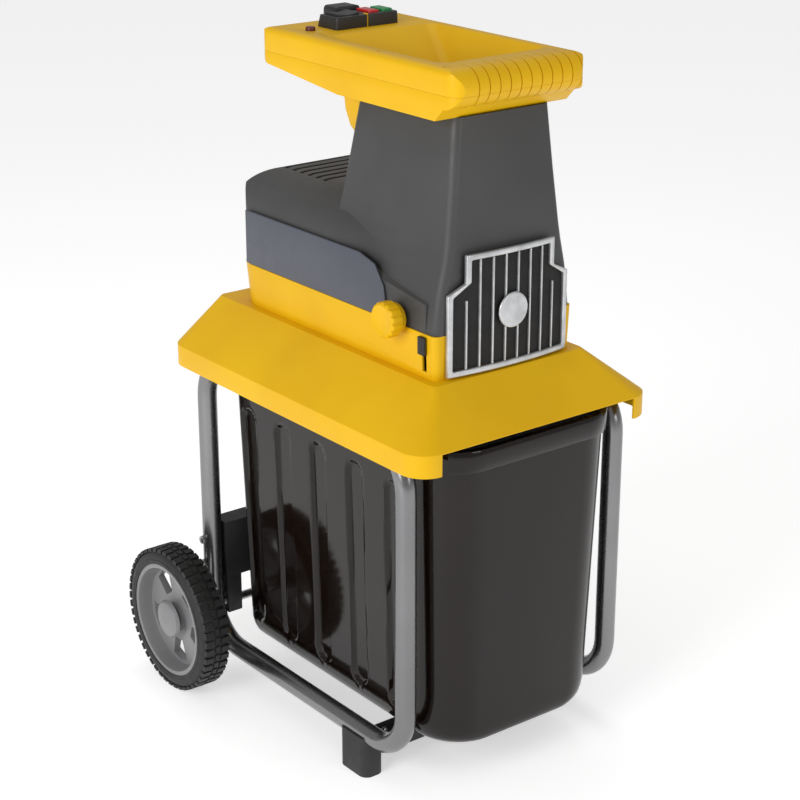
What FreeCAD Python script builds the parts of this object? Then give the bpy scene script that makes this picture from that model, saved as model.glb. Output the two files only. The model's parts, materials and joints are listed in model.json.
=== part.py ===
import FreeCAD, Part
import math
import os
import Sketcher
from FreeCAD import Placement, Rotation, Vector
from types import SimpleNamespace

# Quiet electric garden shredder: a two-wheeled tube frame carries a moulded deck, the drum cutter
# with its motor and gearbox stands on the deck under a dark casing, the branch hopper tops the
# tower, and a smoked box slides out to the front under the deck.
# Millimetres. X to the machine's right as seen from the front, Y to the back, Z up.
# The origin is on the ground, in the middle of the machine's outline.

DIMENSIONS = {
    # side frames
    "tube_radius": 13, "tube_wall": 1.5, "tube_offset": 166, "tube_front": -238, "tube_rear": 192,
    "tube_low": 55, "tube_high": 466, "tube_bend": 60,
    # wheels and axle
    "wheel_radius": 100, "wheel_width": 45, "wheel_face": 250, "rim_radius": 79,
    "axle_back": 188, "axle_height": 100, "axle_radius": 6,
    # feet and cross-members
    "foot_front": -175, "foot_length": 56, "foot_width": 32, "beam_wall": 3,
    # deck
    "deck_half": 186, "deck_front": -288, "deck_rear": 254, "deck_base": 443, "deck_rim": 471,
    "deck_top": 528, "deck_top_half": 118, "deck_top_front": -230, "deck_top_rear": 230,
    "deck_corner": 34, "deck_gate_half": 152, "wall": 3,
    # collection box
    "box_half": 142, "box_front": -280, "box_rear": 166, "box_floor": 56, "box_top": 460,
    "box_taper": 9, "box_front_corner": 60, "box_rear_corner": 14, "box_lip": 149,
    "flute_depth": 5, "flute_width": 34, "flute_rear": 134, "flute_spacing": 78,
    "flute_low": 104, "flute_high": 382,
    # casing
    "casing_half": 108, "casing_front": -218, "casing_rear": 212, "casing_waist": 583,
    "cover_half": 106, "cover_front": -218, "cover_top": 708, "cover_round": 58,
    "neck_top": 836, "neck_half": 72, "neck_front": -209, "neck_rear": -23,
    # grille
    "grille_top": 678, "grille_shoulder": 632, "grille_base": 531, "grille_top_half": 68,
    "grille_half": 93, "grille_bar": 7, "grille_depth": 6,
    # hopper
    "hopper_half": 100, "hopper_front": -243, "hopper_rear": 147, "hopper_top": 897,
    "hopper_split": 867, "hopper_belly": 836, "hopper_round": 23,
    "mouth_half": 80, "mouth_front": -192, "mouth_rear": 26,
    "throat_half": 50, "throat_front": -166, "throat_rear": -50,
    # cutter, gears and motor
    "drum_side": 25, "drum_height": 600, "drum_radius": 42, "drum_front": -183, "drum_rear": -113,
    "shaft_radius": 7.5, "lay_side": -40.8, "lay_height": 604.6, "motor_height": 640,
    "stator_radius": 60, "rotor_radius": 34, "motor_front": -34, "motor_rear": 76,
    # controls
    "knob_radius": 22, "knob_back": -151, "knob_height": 593, "knob_face": 136,
    "panel_front": -128, "panel_rear": 175, "panel_top": 655,
    "switch_half": 48, "switch_front": 52, "switch_rear": 94, "switch_top": 912,
    "lock_back": -197, "reset_side": -72, "reset_back": 74, "reset_radius": 6,
}


class Size(float):
    """A number that remembers the spreadsheet expression it comes from."""

    def __new__(cls, value, text):
        size = super().__new__(cls, value)
        size.text = text
        return size

    def __add__(self, other):
        return Size(float(self) + float(other), f"({self.text} + {expression(other)})")

    def __radd__(self, other):
        return Size(float(other) + float(self), f"({expression(other)} + {self.text})")

    def __sub__(self, other):
        return Size(float(self) - float(other), f"({self.text} - {expression(other)})")

    def __rsub__(self, other):
        return Size(float(other) - float(self), f"({expression(other)} - {self.text})")

    def __mul__(self, other):
        return Size(float(self) * float(other), f"({self.text} * {expression(other)})")

    __rmul__ = __mul__

    def __truediv__(self, other):
        return Size(float(self) / float(other), f"({self.text} / {expression(other)})")

    def __neg__(self):
        return Size(-float(self), f"(0 - {self.text})")


def expression(number):
    """The text that stands for a number in a property's expression."""
    return getattr(number, "text", repr(float(number)))


doc = FreeCAD.newDocument("shredder")
sheet = doc.addObject("Spreadsheet::Sheet", "dims")
for row, (alias, value) in enumerate(DIMENSIONS.items(), start=1):
    sheet.set(f"A{row}", alias)
    sheet.set(f"B{row}", str(value))
    sheet.setAlias(f"B{row}", alias)
doc.recompute()
d = SimpleNamespace(**{
    alias: Size(sheet.get(alias), f"dims.{alias}") for alias in DIMENSIONS})

nodes = []


def keep(item, label):
    """Mark an object as a finished piece of the machine."""
    item.Label = label
    nodes.append(item)
    return item


# ---------------------------------------------------------------- solids driven by the sheet

ALONG = {"X": Rotation(Vector(0, 1, 0), 90), "-X": Rotation(Vector(0, 1, 0), -90),
         "Y": Rotation(Vector(1, 0, 0), -90), "Z": Rotation()}


def bind(item, prop, number):
    """Drive a property from the sheet, or set it where the number is a plain one."""
    item.setExpression(prop, expression(number))


def place(item, corner, axis="Z"):
    """Put an object's own origin at a point, with its own Z along one of the machine's axes."""
    item.Placement = Placement(Vector(*corner), ALONG[axis])
    for letter, number in zip("xyz", corner):
        bind(item, f"Placement.Base.{letter}", number)
    return item


def block(name, low, high):
    """A box between two corners."""
    item = doc.addObject("Part::Box", name)
    for prop, start, end in zip(("Length", "Width", "Height"), low, high):
        bind(item, prop, end - start)
    return place(item, low)


def rod(name, radius, start, length, axis):
    """A round bar from a point along an axis."""
    item = doc.addObject("Part::Cylinder", name)
    bind(item, "Radius", radius)
    bind(item, "Height", length)
    return place(item, start, axis)


def fuse(name, pieces):
    item = doc.addObject("Part::MultiFuse", name)
    item.Shapes = pieces
    item.Refine = True
    return item


def cut(name, base, tools):
    item = doc.addObject("Part::Cut", name)
    item.Base = base
    item.Tool = tools[0] if len(tools) == 1 else fuse(f"{name}_tools", tools)
    return item


def rounded(name, base, radius, chosen):
    """Round the edges of an object for which chosen(edge) is true."""
    doc.recompute()
    item = doc.addObject("Part::Fillet", name)
    item.Base = base
    picked = [i for i, edge in enumerate(base.Shape.Edges, start=1) if chosen(edge)]
    item.Edges = [(i, float(radius), float(radius)) for i in picked]
    return item


def runs_along(axis):
    """A test for straight edges along one of the machine's axes."""
    letter = "XYZ".index(axis)

    def test(edge):
        if edge.Curve.TypeId != "Part::GeomLine":
            return False
        return abs(abs(edge.Curve.Direction[letter]) - 1) < 1e-6

    return test


# ---------------------------------------------------------------- sketched pieces


def sketch_on(body, role, name, lift=0.0):
    """A sketch on one of a body's own planes, lifted off it along the plane's normal."""
    sketch = body.newObject("Sketcher::SketchObject", name)
    plane = next(part for part in body.Origin.OriginFeatures if part.Role == role)
    sketch.AttachmentSupport = (plane, "")
    sketch.MapMode = "FlatFace"
    sketch.AttachmentOffset = Placement(Vector(0, 0, lift), Rotation())
    bind(sketch, "AttachmentOffset.Base.z", lift)
    return sketch


def fix_point(sketch, geometry, corner, point):
    """Hold a point of a sketch at two driven distances from its origin."""
    for kind, other_axis, number in (("DistanceX", -2, point[0]), ("DistanceY", -1, point[1])):
        if float(number) == 0:
            sketch.addConstraint(Sketcher.Constraint("PointOnObject", geometry, corner, other_axis))
            continue
        index = sketch.addConstraint(
            Sketcher.Constraint(kind, -1, 1, geometry, corner, float(number)))
        if hasattr(number, "text"):
            sketch.setExpression(f"Constraints[{index}]", number.text)


def polygon(sketch, points):
    """A closed outline of straight lines through driven points."""
    first = sketch.GeometryCount
    count = len(points)
    corners = [Vector(float(a), float(b), 0) for a, b in points]
    for i in range(count):
        sketch.addGeometry(Part.LineSegment(corners[i], corners[(i + 1) % count]), False)
    for i in range(count):
        sketch.addConstraint(
            Sketcher.Constraint("Coincident", first + i, 2, first + (i + 1) % count, 1))
    for i, point in enumerate(points):
        fix_point(sketch, first + i, 1, point)


def new_body(name):
    return doc.addObject("PartDesign::Body", name)


def pad(body, sketch, depth, name):
    feature = body.newObject("PartDesign::Pad", name)
    feature.Profile = sketch
    bind(feature, "Length", depth)
    sketch.Visibility = False
    return feature


def turned(name, profile, centre, axis):
    """A body of revolution: (radius, distance along the axis) points, turned about the axis."""
    body = new_body(name)
    sketch = sketch_on(body, "XZ_Plane", f"{name}_profile")
    polygon(sketch, profile)
    feature = body.newObject("PartDesign::Revolution", f"{name}_turn")
    feature.Profile = sketch
    feature.ReferenceAxis = (sketch, ["V_Axis"])
    feature.Angle = 360
    return place(body, centre, axis)


def sleeve_profile(inner, outer, start, end):
    """The profile of a plain ring for turned()."""
    return [(inner, start), (outer, start), (outer, end), (inner, end)]


def plate(name, role, outline, start, depth):
    """A flat piece: an outline drawn on a plane and padded from start."""
    body = new_body(name)
    sketch = sketch_on(body, role, f"{name}_outline", start)
    polygon(sketch, outline)
    pad(body, sketch, depth, f"{name}_pad")
    return body


# ---------------------------------------------------------------- lofted shells


def made(name, shape):
    """A piece whose shape is worked out here from the sheet's sizes."""
    item = doc.addObject("Part::Feature", name)
    item.Shape = shape
    item.Placement = Placement()
    return item


def rounded_wire(x_low, x_high, y_low, y_high, radius, height):
    """A level rectangle with round corners; radius may be a (front, rear) pair."""
    front, rear = radius if isinstance(radius, tuple) else (radius, radius)
    corners = [
        (x_high - front, y_low + front, -90, front), (x_high - rear, y_high - rear, 0, rear),
        (x_low + rear, y_high - rear, 90, rear), (x_low + front, y_low + front, 180, front)]
    arcs = []
    for x, y, start, corner_radius in corners:
        round_edge = Part.Circle(Vector(x, y, height), Vector(0, 0, 1), corner_radius)
        arcs.append(Part.ArcOfCircle(
            round_edge, math.radians(start), math.radians(start + 90)).toShape())
    edges = []
    for i, arc in enumerate(arcs):
        following = arcs[(i + 1) % 4]
        edges.append(arc)
        edges.append(Part.makeLine(arc.Vertexes[-1].Point, following.Vertexes[0].Point))
    return Part.Wire(edges)


def loft(sections):
    """A solid through level rounded rectangles, each (x low, x high, y low, y high, r, z)."""
    return Part.makeLoft([rounded_wire(*section) for section in sections], True, True)


def drawn_in(radius, gap):
    """A corner radius inside a wall."""
    if isinstance(radius, tuple):
        return tuple(max(each - gap, 1.0) for each in radius)
    return max(radius - gap, 1.0)


def inset(sections, gap):
    """The same sections drawn in by a wall's thickness."""
    return [
        (x_low + gap, x_high - gap, y_low + gap, y_high - gap, drawn_in(radius, gap), height)
        for x_low, x_high, y_low, y_high, radius, height in sections]


def bar(low, high):
    """A plain box between two corners, for cutting and joining computed shapes."""
    return Part.makeBox(
        high[0] - low[0], high[1] - low[1], high[2] - low[2], Vector(*low))


def hole_along(axis, radius, start, length):
    """A round cutter from a point along an axis."""
    direction = {"X": Vector(1, 0, 0), "Y": Vector(0, 1, 0), "Z": Vector(0, 0, 1)}[axis]
    return Part.makeCylinder(radius, length, Vector(*start), direction)


def joined(shapes):
    return shapes[0].multiFuse(shapes[1:]).removeSplitter()


# ---------------------------------------------------------------- side frames

FIT = 0.3  # gap between neighbouring pieces that are not pressed together
SIDES = (("left", -1), ("right", 1))


def loop_wire():
    """The centre line of a side frame: a rectangle with four round corners, at X = 0."""
    flat = rounded_wire(d.tube_front, d.tube_rear, d.tube_low, d.tube_high, d.tube_bend, 0)
    turn = Placement(Vector(), Rotation(Vector(0, 0, 1), 90)).multiply(
        Placement(Vector(), Rotation(Vector(1, 0, 0), 90)))
    return flat.transformGeometry(turn.toMatrix())


def swept_loop(radius):
    """A round bar bent along the side frame's centre line, closed on itself."""
    runs = []
    for edge in loop_wire().Edges:
        begin = edge.valueAt(edge.FirstParameter)
        ahead = edge.tangentAt(edge.FirstParameter)
        section = Part.Wire(Part.makeCircle(radius, begin, ahead))
        runs.append(Part.Wire([edge]).makePipeShell([section], True, True))
    return joined(runs)


BEAM_BOLTS = (165.0, 200.0)
BOLT_RADIUS = 3.0


def frame_tube(side):
    """One side frame: a bent steel tube, drilled for the axle and the fixing bolts."""
    tube = swept_loop(d.tube_radius).cut(swept_loop(d.tube_radius - d.tube_wall))
    tube.translate(Vector(side * d.tube_offset, 0, 0))
    across = 4 * d.tube_radius
    low_x = side * d.tube_offset - across / 2
    drilled = [hole_along("X", d.axle_radius + FIT, (low_x, d.axle_back, d.axle_height), across)]
    for height in BEAM_BOLTS:
        drilled.append(hole_along("X", BOLT_RADIUS + FIT, (low_x, d.tube_rear, height), across))
    return tube.cut(Part.makeCompound(drilled))


for side_name, side in SIDES:
    keep(made(f"{side_name}_frame_tube", frame_tube(side)), f"{side_name}_frame_tube")

# ---------------------------------------------------------------- cross-members, feet, fasteners

tube_inside = d.tube_offset - d.tube_radius
beam_front = d.tube_rear - 14
beam_rear = d.tube_rear + 16
BEAM_LOW = 140.0
BEAM_HIGH = 222.0
BEAM_SKIN = 4.0
BEAM_SOLID_END = 30.0
LUG_THICKNESS = 22.0
LUG_DROP = 14.0

# Rear cross-member: a moulded channel between the rear uprights, with lugs down to the axle.
beam_body = block("rear_beam_block", (-tube_inside, beam_front, BEAM_LOW),
                  (tube_inside, beam_rear, BEAM_HIGH))
beam_hollow = block(
    "rear_beam_hollow", (-tube_inside + BEAM_SOLID_END, beam_front + BEAM_SKIN, BEAM_LOW + BEAM_SKIN),
    (tube_inside - BEAM_SOLID_END, beam_rear + 1, BEAM_HIGH - BEAM_SKIN))
beam_lugs = []
for side_name, side in SIDES:
    outer_x = side * (tube_inside - 1)
    low_x = outer_x if side < 0 else outer_x - LUG_THICKNESS
    beam_lugs.append(block(f"{side_name}_axle_lug", (low_x, beam_front, d.axle_height - LUG_DROP),
                           (low_x + LUG_THICKNESS, beam_rear - BEAM_SKIN, BEAM_LOW + 2)))
beam_solid = fuse("rear_beam_solid", [beam_body] + beam_lugs)
beam_bore = rod("rear_beam_bore", d.axle_radius + FIT, (-tube_inside, d.axle_back, d.axle_height),
                2 * tube_inside, "X")
bolt_holes = [
    rod(f"rear_beam_bolt_hole_{i}", BOLT_RADIUS + FIT, (-tube_inside, d.tube_rear, height),
        2 * tube_inside, "X") for i, height in enumerate(BEAM_BOLTS)]
keep(cut("rear_cross_member", beam_solid, [beam_hollow, beam_bore] + bolt_holes),
     "rear_cross_member")

# Front cross-member: a shallow channel under the box that ties the two lower tubes together.
FRONT_BEAM_LOW = 24.0
FRONT_BEAM_HIGH = 38.0
front_beam_front = d.foot_front + 6
front_beam_rear = d.foot_front + d.foot_length - 6
front_beam_end = d.tube_offset - d.foot_width / 2 - FIT
front_beam = block("front_beam_block", (-front_beam_end, front_beam_front, FRONT_BEAM_LOW),
                   (front_beam_end, front_beam_rear, FRONT_BEAM_HIGH))
front_hollow = block("front_beam_hollow",
                     (-front_beam_end + 12, front_beam_front + d.beam_wall, FRONT_BEAM_LOW - 1),
                     (front_beam_end - 12, front_beam_rear - d.beam_wall,
                      FRONT_BEAM_HIGH - d.beam_wall))
FOOT_SCREW_RADIUS = 2.5
foot_middle = d.foot_front + d.foot_length / 2
screw_holes = [
    rod(f"front_beam_hole_{side_name}", FOOT_SCREW_RADIUS + FIT / 2,
        (side * front_beam_end - side * 20, foot_middle, FRONT_BEAM_LOW - 2), 30, "Z")
    for side_name, side in SIDES]
keep(cut("front_cross_member", front_beam, [front_hollow] + screw_holes), "front_cross_member")

# Feet: moulded blocks that cradle the lower tube and reach the ground.
for side_name, side in SIDES:
    low_x = side * d.tube_offset - d.foot_width / 2
    foot_block = block(f"{side_name}_foot_block", (low_x, d.foot_front, 0),
                       (low_x + d.foot_width, d.foot_front + d.foot_length, d.tube_low))
    foot_round = rounded(f"{side_name}_foot_round", foot_block, 12, runs_along("Z"))
    cradle = rod(f"{side_name}_foot_cradle", d.tube_radius,
                 (side * d.tube_offset, d.foot_front - 1, d.tube_low), d.foot_length + 2, "Y")
    side_screw = rod(f"{side_name}_foot_screw_hole", FOOT_SCREW_RADIUS + FIT / 2,
                     (side * d.tube_offset, foot_middle, 12), 50, "Z")
    keep(cut(f"{side_name}_foot", foot_round, [cradle, side_screw]), f"{side_name}_foot")

# One clamping screw through each foot into the tube, and one through each end of the front beam.
screws = []
for side_name, side in SIDES:
    screws.append(rod(f"{side_name}_foot_screw", FOOT_SCREW_RADIUS,
                      (side * d.tube_offset, foot_middle, 12),
                      d.tube_low - d.tube_radius - 12, "Z"))
    beam_x = side * front_beam_end - side * 20
    screws.append(rod(f"{side_name}_beam_screw", FOOT_SCREW_RADIUS,
                      (beam_x, foot_middle, FRONT_BEAM_LOW + 6), 14, "Z"))
    screws.append(rod(f"{side_name}_beam_screw_head", 5, (beam_x, foot_middle, FRONT_BEAM_HIGH),
                      3, "Z"))
keep(fuse("foot_screws", screws), "foot_screws")

# Bolts that hold the rear beam between the side frames.
bolts = []
for side_name, side in SIDES:
    for i, height in enumerate(BEAM_BOLTS):
        outer_x = side * (d.tube_offset + d.tube_radius)
        low_x = outer_x if side < 0 else outer_x - 40
        bolts.append(rod(f"{side_name}_bolt_shank_{i}", BOLT_RADIUS,
                         (low_x, d.tube_rear, height), 40, "X"))
        head_x = outer_x - 5 if side < 0 else outer_x
        bolts.append(rod(f"{side_name}_bolt_head_{i}", 5.5, (head_x, d.tube_rear, height), 5, "X"))
keep(fuse("frame_bolts", bolts), "frame_bolts")

# ---------------------------------------------------------------- wheels

AXLE_FIT = 0.08  # running clearance of the rims on the axle
wheel_inner_face = d.wheel_face - d.wheel_width
axle_end = d.wheel_face - 10.2

keep(turned("wheel_axle", [(0, -axle_end), (d.axle_radius, -axle_end), (d.axle_radius, axle_end),
                           (0, axle_end)], (0, d.axle_back, d.axle_height), "X"), "wheel_axle")

retainers = []
for side_name, side in SIDES:
    start = d.tube_offset + d.tube_radius + 0.5
    low = start if side > 0 else -(wheel_inner_face - FIT)
    retainers.append(turned(f"{side_name}_spacer", sleeve_profile(
        d.axle_radius + AXLE_FIT, 11, 0, wheel_inner_face - FIT - start),
        (low, d.axle_back, d.axle_height), "X"))
CLIP_THICKNESS = 1.5
clip_start = d.wheel_face - 12
for side_name, side in SIDES:
    low = clip_start if side > 0 else -clip_start - CLIP_THICKNESS
    retainers.append(turned(f"{side_name}_clip", sleeve_profile(
        d.axle_radius, 11, 0, CLIP_THICKNESS), (low, d.axle_back, d.axle_height), "X"))
keep(fuse("axle_retainers", retainers), "axle_retainers")

RIM_WINDOWS = 5
for side_name, side in SIDES:
    low = wheel_inner_face if side > 0 else -d.wheel_face
    centre = (low, d.axle_back, d.axle_height)
    tyre = [
        (d.rim_radius, 4), (d.wheel_radius - 9, 2), (d.wheel_radius, 10),
        (d.wheel_radius, d.wheel_width - 10), (d.wheel_radius - 9, d.wheel_width - 2),
        (d.rim_radius, d.wheel_width - 4)]
    keep(turned(f"{side_name}_tyre", tyre, centre, "X"), f"{side_name}_tyre")
    rim_edge = d.rim_radius - FIT / 10
    rim = [
        (d.axle_radius + AXLE_FIT, 0), (15, 0), (15, 12), (rim_edge - 8, 12), (rim_edge - 6, 3),
        (rim_edge, 3), (rim_edge, d.wheel_width - 3), (rim_edge - 6, d.wheel_width - 3),
        (rim_edge - 10, 22), (20, 24), (20, d.wheel_width - 14),
        (d.axle_radius + AXLE_FIT, d.wheel_width - 14)]
    if side < 0:
        rim = [(radius, d.wheel_width - along) for radius, along in reversed(rim)]
    rim_body = turned(f"{side_name}_wheel_rim", rim, centre, "X")
    window = sketch_on(rim_body, "XY_Plane", f"{side_name}_window", 0)
    polygon(window, [(34, -9), (62, -17), (66, 0), (62, 17), (34, 9)])
    pocket = rim_body.newObject("PartDesign::Pocket", f"{side_name}_window_pocket")
    pocket.Profile = window
    pocket.Type = "ThroughAll"
    pocket.Midplane = True
    windows = rim_body.newObject("PartDesign::PolarPattern", f"{side_name}_windows")
    windows.Originals = [pocket]
    windows.Axis = (window, ["N_Axis"])
    windows.Angle = 360
    windows.Occurrences = RIM_WINDOWS
    rim_body.Tip = windows
    keep(rim_body, f"{side_name}_wheel_rim")
    hub_end = d.wheel_width - 13
    cap = [
        (0, hub_end + 3), (12, hub_end + 3), (12, hub_end - 0.4), (19, hub_end - 0.4),
        (19, hub_end + 3), (27, hub_end + 4), (24, hub_end + 9), (14, hub_end + 12),
        (0, hub_end + 12.7)]
    if side < 0:
        cap = [(radius, d.wheel_width - along) for radius, along in reversed(cap)]
    keep(turned(f"{side_name}_hub_cap", cap, centre, "X"), f"{side_name}_hub_cap")

# ---------------------------------------------------------------- deck and rails

DISCHARGE = (-40.0, 76.0, -188.0, -108.0)  # opening through housing and deck: x, x, y, y


def deck_sections(gap):
    """The deck's level sections from its lower edge to the flat top."""
    half, top_half = d.deck_half, d.deck_top_half
    return inset([
        (-half, half, d.deck_front, d.deck_rear, d.deck_corner, d.deck_base),
        (-half, half, d.deck_front, d.deck_rear, d.deck_corner, d.deck_rim),
        (-top_half, top_half, d.deck_top_front, d.deck_top_rear, 8.0, d.deck_top)], gap)


def deck_shape():
    """The moulded deck: a sloping shell, open at the front for the box."""
    lowest, rim, top = deck_sections(d.wall)
    lowest = lowest[:5] + (d.deck_base - 1,)
    rim = rim[:5] + (d.deck_rim - 2,)
    top = top[:5] + (d.deck_top - d.wall,)
    shell = loft(deck_sections(0)).cut(loft([lowest, rim, top]))
    gate = bar((-d.deck_gate_half, d.deck_front - 1, d.deck_base - 1),
               (d.deck_gate_half, d.deck_front + 30, d.deck_rim - 1))
    x_low, x_high, y_low, y_high = DISCHARGE
    discharge = bar((x_low, y_low, d.deck_top - 10), (x_high, y_high, d.deck_top + 1))
    return shell.cut(Part.makeCompound([gate, discharge] + deck_screw_tools(FIT)))


DECK_SCREW_RADIUS = 2.5
DECK_SCREW_HEAD = 3.0
DECK_SCREWS = [(x, y) for x in (-84.0, 84.0) for y in (d.casing_front + 40, d.casing_rear - 40)]


def deck_screw_tools(gap):
    """Holes for the screws up through the deck's top plate, by the casing's four corners."""
    return [hole_along("Z", DECK_SCREW_RADIUS + gap, (x, y, d.deck_top - 20), 21)
            for x, y in DECK_SCREWS]


def deck_screw(x, y):
    """One screw, its head under the deck's top plate and its end in the casing's floor."""
    under = d.deck_top - d.wall
    head = hole_along("Z", 5, (x, y, under - DECK_SCREW_HEAD), DECK_SCREW_HEAD)
    shank = hole_along("Z", DECK_SCREW_RADIUS, (x, y, under), d.wall + 2.5)
    return head.fuse(shank).removeSplitter()


keep(made("deck", deck_shape()), "deck")
keep(made("deck_screws", Part.makeCompound([deck_screw(x, y) for x, y in DECK_SCREWS])),
     "deck_screws")

# Rails: folded steel strips along the tubes that carry the box's lip.
RAIL_LOW = 450.2
RAIL_HEIGHT = 40.0
RAIL_SHEET = 1.5
RAIL_FOOT = 9.0
RAIL_LENGTH = 380.0
rail_front = d.tube_front + 10
for side_name, side in SIDES:
    outer_x = side * tube_inside
    inner_x = side * (tube_inside - RAIL_FOOT)
    web_x = side * (tube_inside - RAIL_SHEET)
    outline = [(outer_x, RAIL_LOW), (outer_x, RAIL_LOW + RAIL_HEIGHT),
               (web_x, RAIL_LOW + RAIL_HEIGHT), (web_x, RAIL_LOW + RAIL_SHEET),
               (inner_x, RAIL_LOW + RAIL_SHEET), (inner_x, RAIL_LOW)]
    keep(plate(f"{side_name}_guide_rail", "XZ_Plane", outline, -rail_front - RAIL_LENGTH,
               RAIL_LENGTH), f"{side_name}_guide_rail")

# ---------------------------------------------------------------- collection box


FLUTES = 5
CUTTER_REACH = 60.0


def flute_cutters(gap):
    """Arched channels down both sides of the box, grown by gap for the inside."""
    cutters = []
    width = d.flute_width / 2 + gap
    for i in range(FLUTES):
        centre_y = d.flute_rear - i * d.flute_spacing
        for side_name, side in SIDES:
            face = d.box_half - d.flute_depth - gap
            low_x = face if side > 0 else -face - CUTTER_REACH
            cutters.append(bar((low_x, centre_y - width, d.flute_low),
                               (low_x + CUTTER_REACH, centre_y + width, d.flute_high)))
            for end in (d.flute_low, d.flute_high):
                cutters.append(hole_along("X", width, (low_x, centre_y, end), CUTTER_REACH))
    return joined(cutters)


# The rounded edge round the box's floor: rise, draw at the sides and back, draw at the front.
BOX_FLOOR_STEPS = ((0.0, 22.0, 9.0), (4.0, 13.0, 3.0), (12.0, 5.0, 0.5), (30.0, 0.0, 0.0))
BOX_FRONT_TAPER = 10.0


def box_sections(gap, floor, top):
    """Level sections of the box: a rounded floor edge, then nearly upright walls."""
    half, front, rear = d.box_half, d.box_front, d.box_rear
    corners = (float(d.box_front_corner), float(d.box_rear_corner))
    sections = []
    for rise, side_draw, front_draw in BOX_FLOOR_STEPS:
        low_half = half - d.box_taper - side_draw
        sections.append((-low_half, low_half, front + BOX_FRONT_TAPER + front_draw,
                         rear - d.box_taper - side_draw, corners, floor + rise))
    sections.append((-half, half, front, rear, corners, top))
    return inset(sections, gap)


LIP_THICKNESS = 8.0
LIP_BAND = 28.0


def box_shape():
    """The smoked drawer box: a thin open tub with a lip on its sides and a band at its front."""
    outer = loft(box_sections(0, d.box_floor, d.box_top))
    band_rear = d.box_front + d.box_front_corner
    lip = bar((-d.box_lip, band_rear, d.box_top - LIP_THICKNESS),
              (d.box_lip, d.box_rear, d.box_top))
    band_half = d.box_half + 1.5
    corners = (float(d.box_front_corner), 2.0)
    band = loft([
        (-band_half, band_half, d.box_front - 5, band_rear + 4, corners, d.box_top - LIP_BAND),
        (-band_half, band_half, d.box_front - 6, band_rear + 4, corners, d.box_top)])
    solid = joined([outer.cut(flute_cutters(0.0)), lip, band])
    inner = loft(box_sections(d.wall, d.box_floor + d.wall, d.box_top + 1))
    return solid.cut(inner.cut(flute_cutters(float(d.wall))))


keep(made("collection_box", box_shape()), "collection_box")

# ---------------------------------------------------------------- casing


def housing_shape():
    """The lower casing: a moulded tray that stands on the deck and carries the drive."""
    half, front, rear = d.casing_half, d.casing_front, d.casing_rear

    def sections(gap, low, high):
        corners = (8.0, 50.0)
        return inset([
            (-half + 2, half - 2, front + 1, rear - 6, corners, low),
            (-half, half, front, rear, corners, high)], gap)

    shell = loft(sections(0, d.deck_top, d.casing_waist)).cut(
        loft(sections(d.wall, d.deck_top + d.wall, d.casing_waist + 1)))
    x_low, x_high, y_low, y_high = DISCHARGE
    discharge = bar((x_low, y_low, d.deck_top - 1), (x_high, y_high, d.deck_top + d.wall + 1))
    lock_slot = bar((-half - 1, d.lock_back - 4, d.deck_top + 8),
                    (-half + 6, d.lock_back + 4, d.casing_waist - 4))
    screws = [hole_along("Z", DECK_SCREW_RADIUS, (x, y, d.deck_top - 1), 3.5)
              for x, y in DECK_SCREWS]
    return shell.cut(Part.makeCompound([discharge, lock_slot] + screws))


keep(made("lower_housing", housing_shape()), "lower_housing")


def cover_arch(y, low_half, low, waist, top_half, top, shoulder):
    """An upright section of the casing across the machine, with round shoulders."""
    bend = shoulder * (1 - math.sqrt(0.5))
    left = [Vector(-low_half, y, low), Vector(-low_half, y, waist),
            Vector(-top_half, y, top - shoulder), Vector(-top_half + bend, y, top - bend),
            Vector(-top_half + shoulder, y, top)]
    right = [Vector(-point.x, point.y, point.z) for point in reversed(left)]
    return Part.Wire([
        Part.makeLine(left[0], left[1]), Part.makeLine(left[1], left[2]),
        Part.Arc(left[2], left[3], left[4]).toShape(), Part.makeLine(left[4], right[0]),
        Part.Arc(right[0], right[1], right[2]).toShape(), Part.makeLine(right[2], right[3]),
        Part.makeLine(right[3], right[4]), Part.makeLine(right[4], left[0])])


# The tower's level sections: height, half-width beyond the neck's, rear beyond the neck's.
TOWER_STEPS = (
    (583.0, 34.0, 63.0), (620.0, 30.0, 51.0), (640.0, 26.0, 43.0), (655.0, 22.5, 37.0),
    (670.0, 19.0, 32.0), (690.0, 15.5, 27.0), (720.0, 12.0, 21.0), (760.0, 7.5, 14.0),
    (800.0, 3.5, 7.0), (836.0, 0.0, 0.0))


COVER_BLEND_FRONT, COVER_BLEND_REAR = -198.0, -20.0
BLEND_WAIST, BLEND_TOP, BLEND_TOP_HALF = 618.0, 684.0, 86.0
COVER_WAIST = 644.0
COVER_TAIL_ROUND = 62.0
COVER_FRONT_END = -60.0


def cover_solid(gap):
    """The dark casing's outside, or its inside when drawn in by gap."""
    half = d.cover_half - gap
    rear = d.casing_rear - gap - 1
    low = d.casing_waist - (gap > 0)
    top, shoulder = d.cover_top - gap, d.cover_round - gap
    rear_arch = cover_arch(COVER_BLEND_REAR, half, low, COVER_WAIST, half - 2, top, shoulder)
    front_arch = cover_arch(COVER_BLEND_FRONT + gap, half, low, BLEND_WAIST,
                            BLEND_TOP_HALF - gap, BLEND_TOP - gap, shoulder)
    blend = Part.makeLoft([front_arch, rear_arch], True, True)
    body = Part.Face(rear_arch).extrude(Vector(0, rear - COVER_BLEND_REAR, 0))
    plan = loft([(-half - 1, half + 1, COVER_FRONT_END, rear, 50.0 - gap, low - 1),
                 (-half - 1, half + 1, COVER_FRONT_END, rear, 50.0 - gap, top + 1)])
    side = rounded_wire(low - 60, top + 0.01, COVER_FRONT_END, rear, COVER_TAIL_ROUND - gap, 0)
    side.rotate(Vector(), Vector(0, 1, 0), -90)
    side.translate(Vector(half + 5, 0, 0))
    profile = Part.Face(side).extrude(Vector(-2 * half - 10, 0, 0))
    return joined([body.common(plan).common(profile), blend, tower_solid(gap, low)])


LEAN_START = 680.0  # the height from which the tower's front leans back


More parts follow.
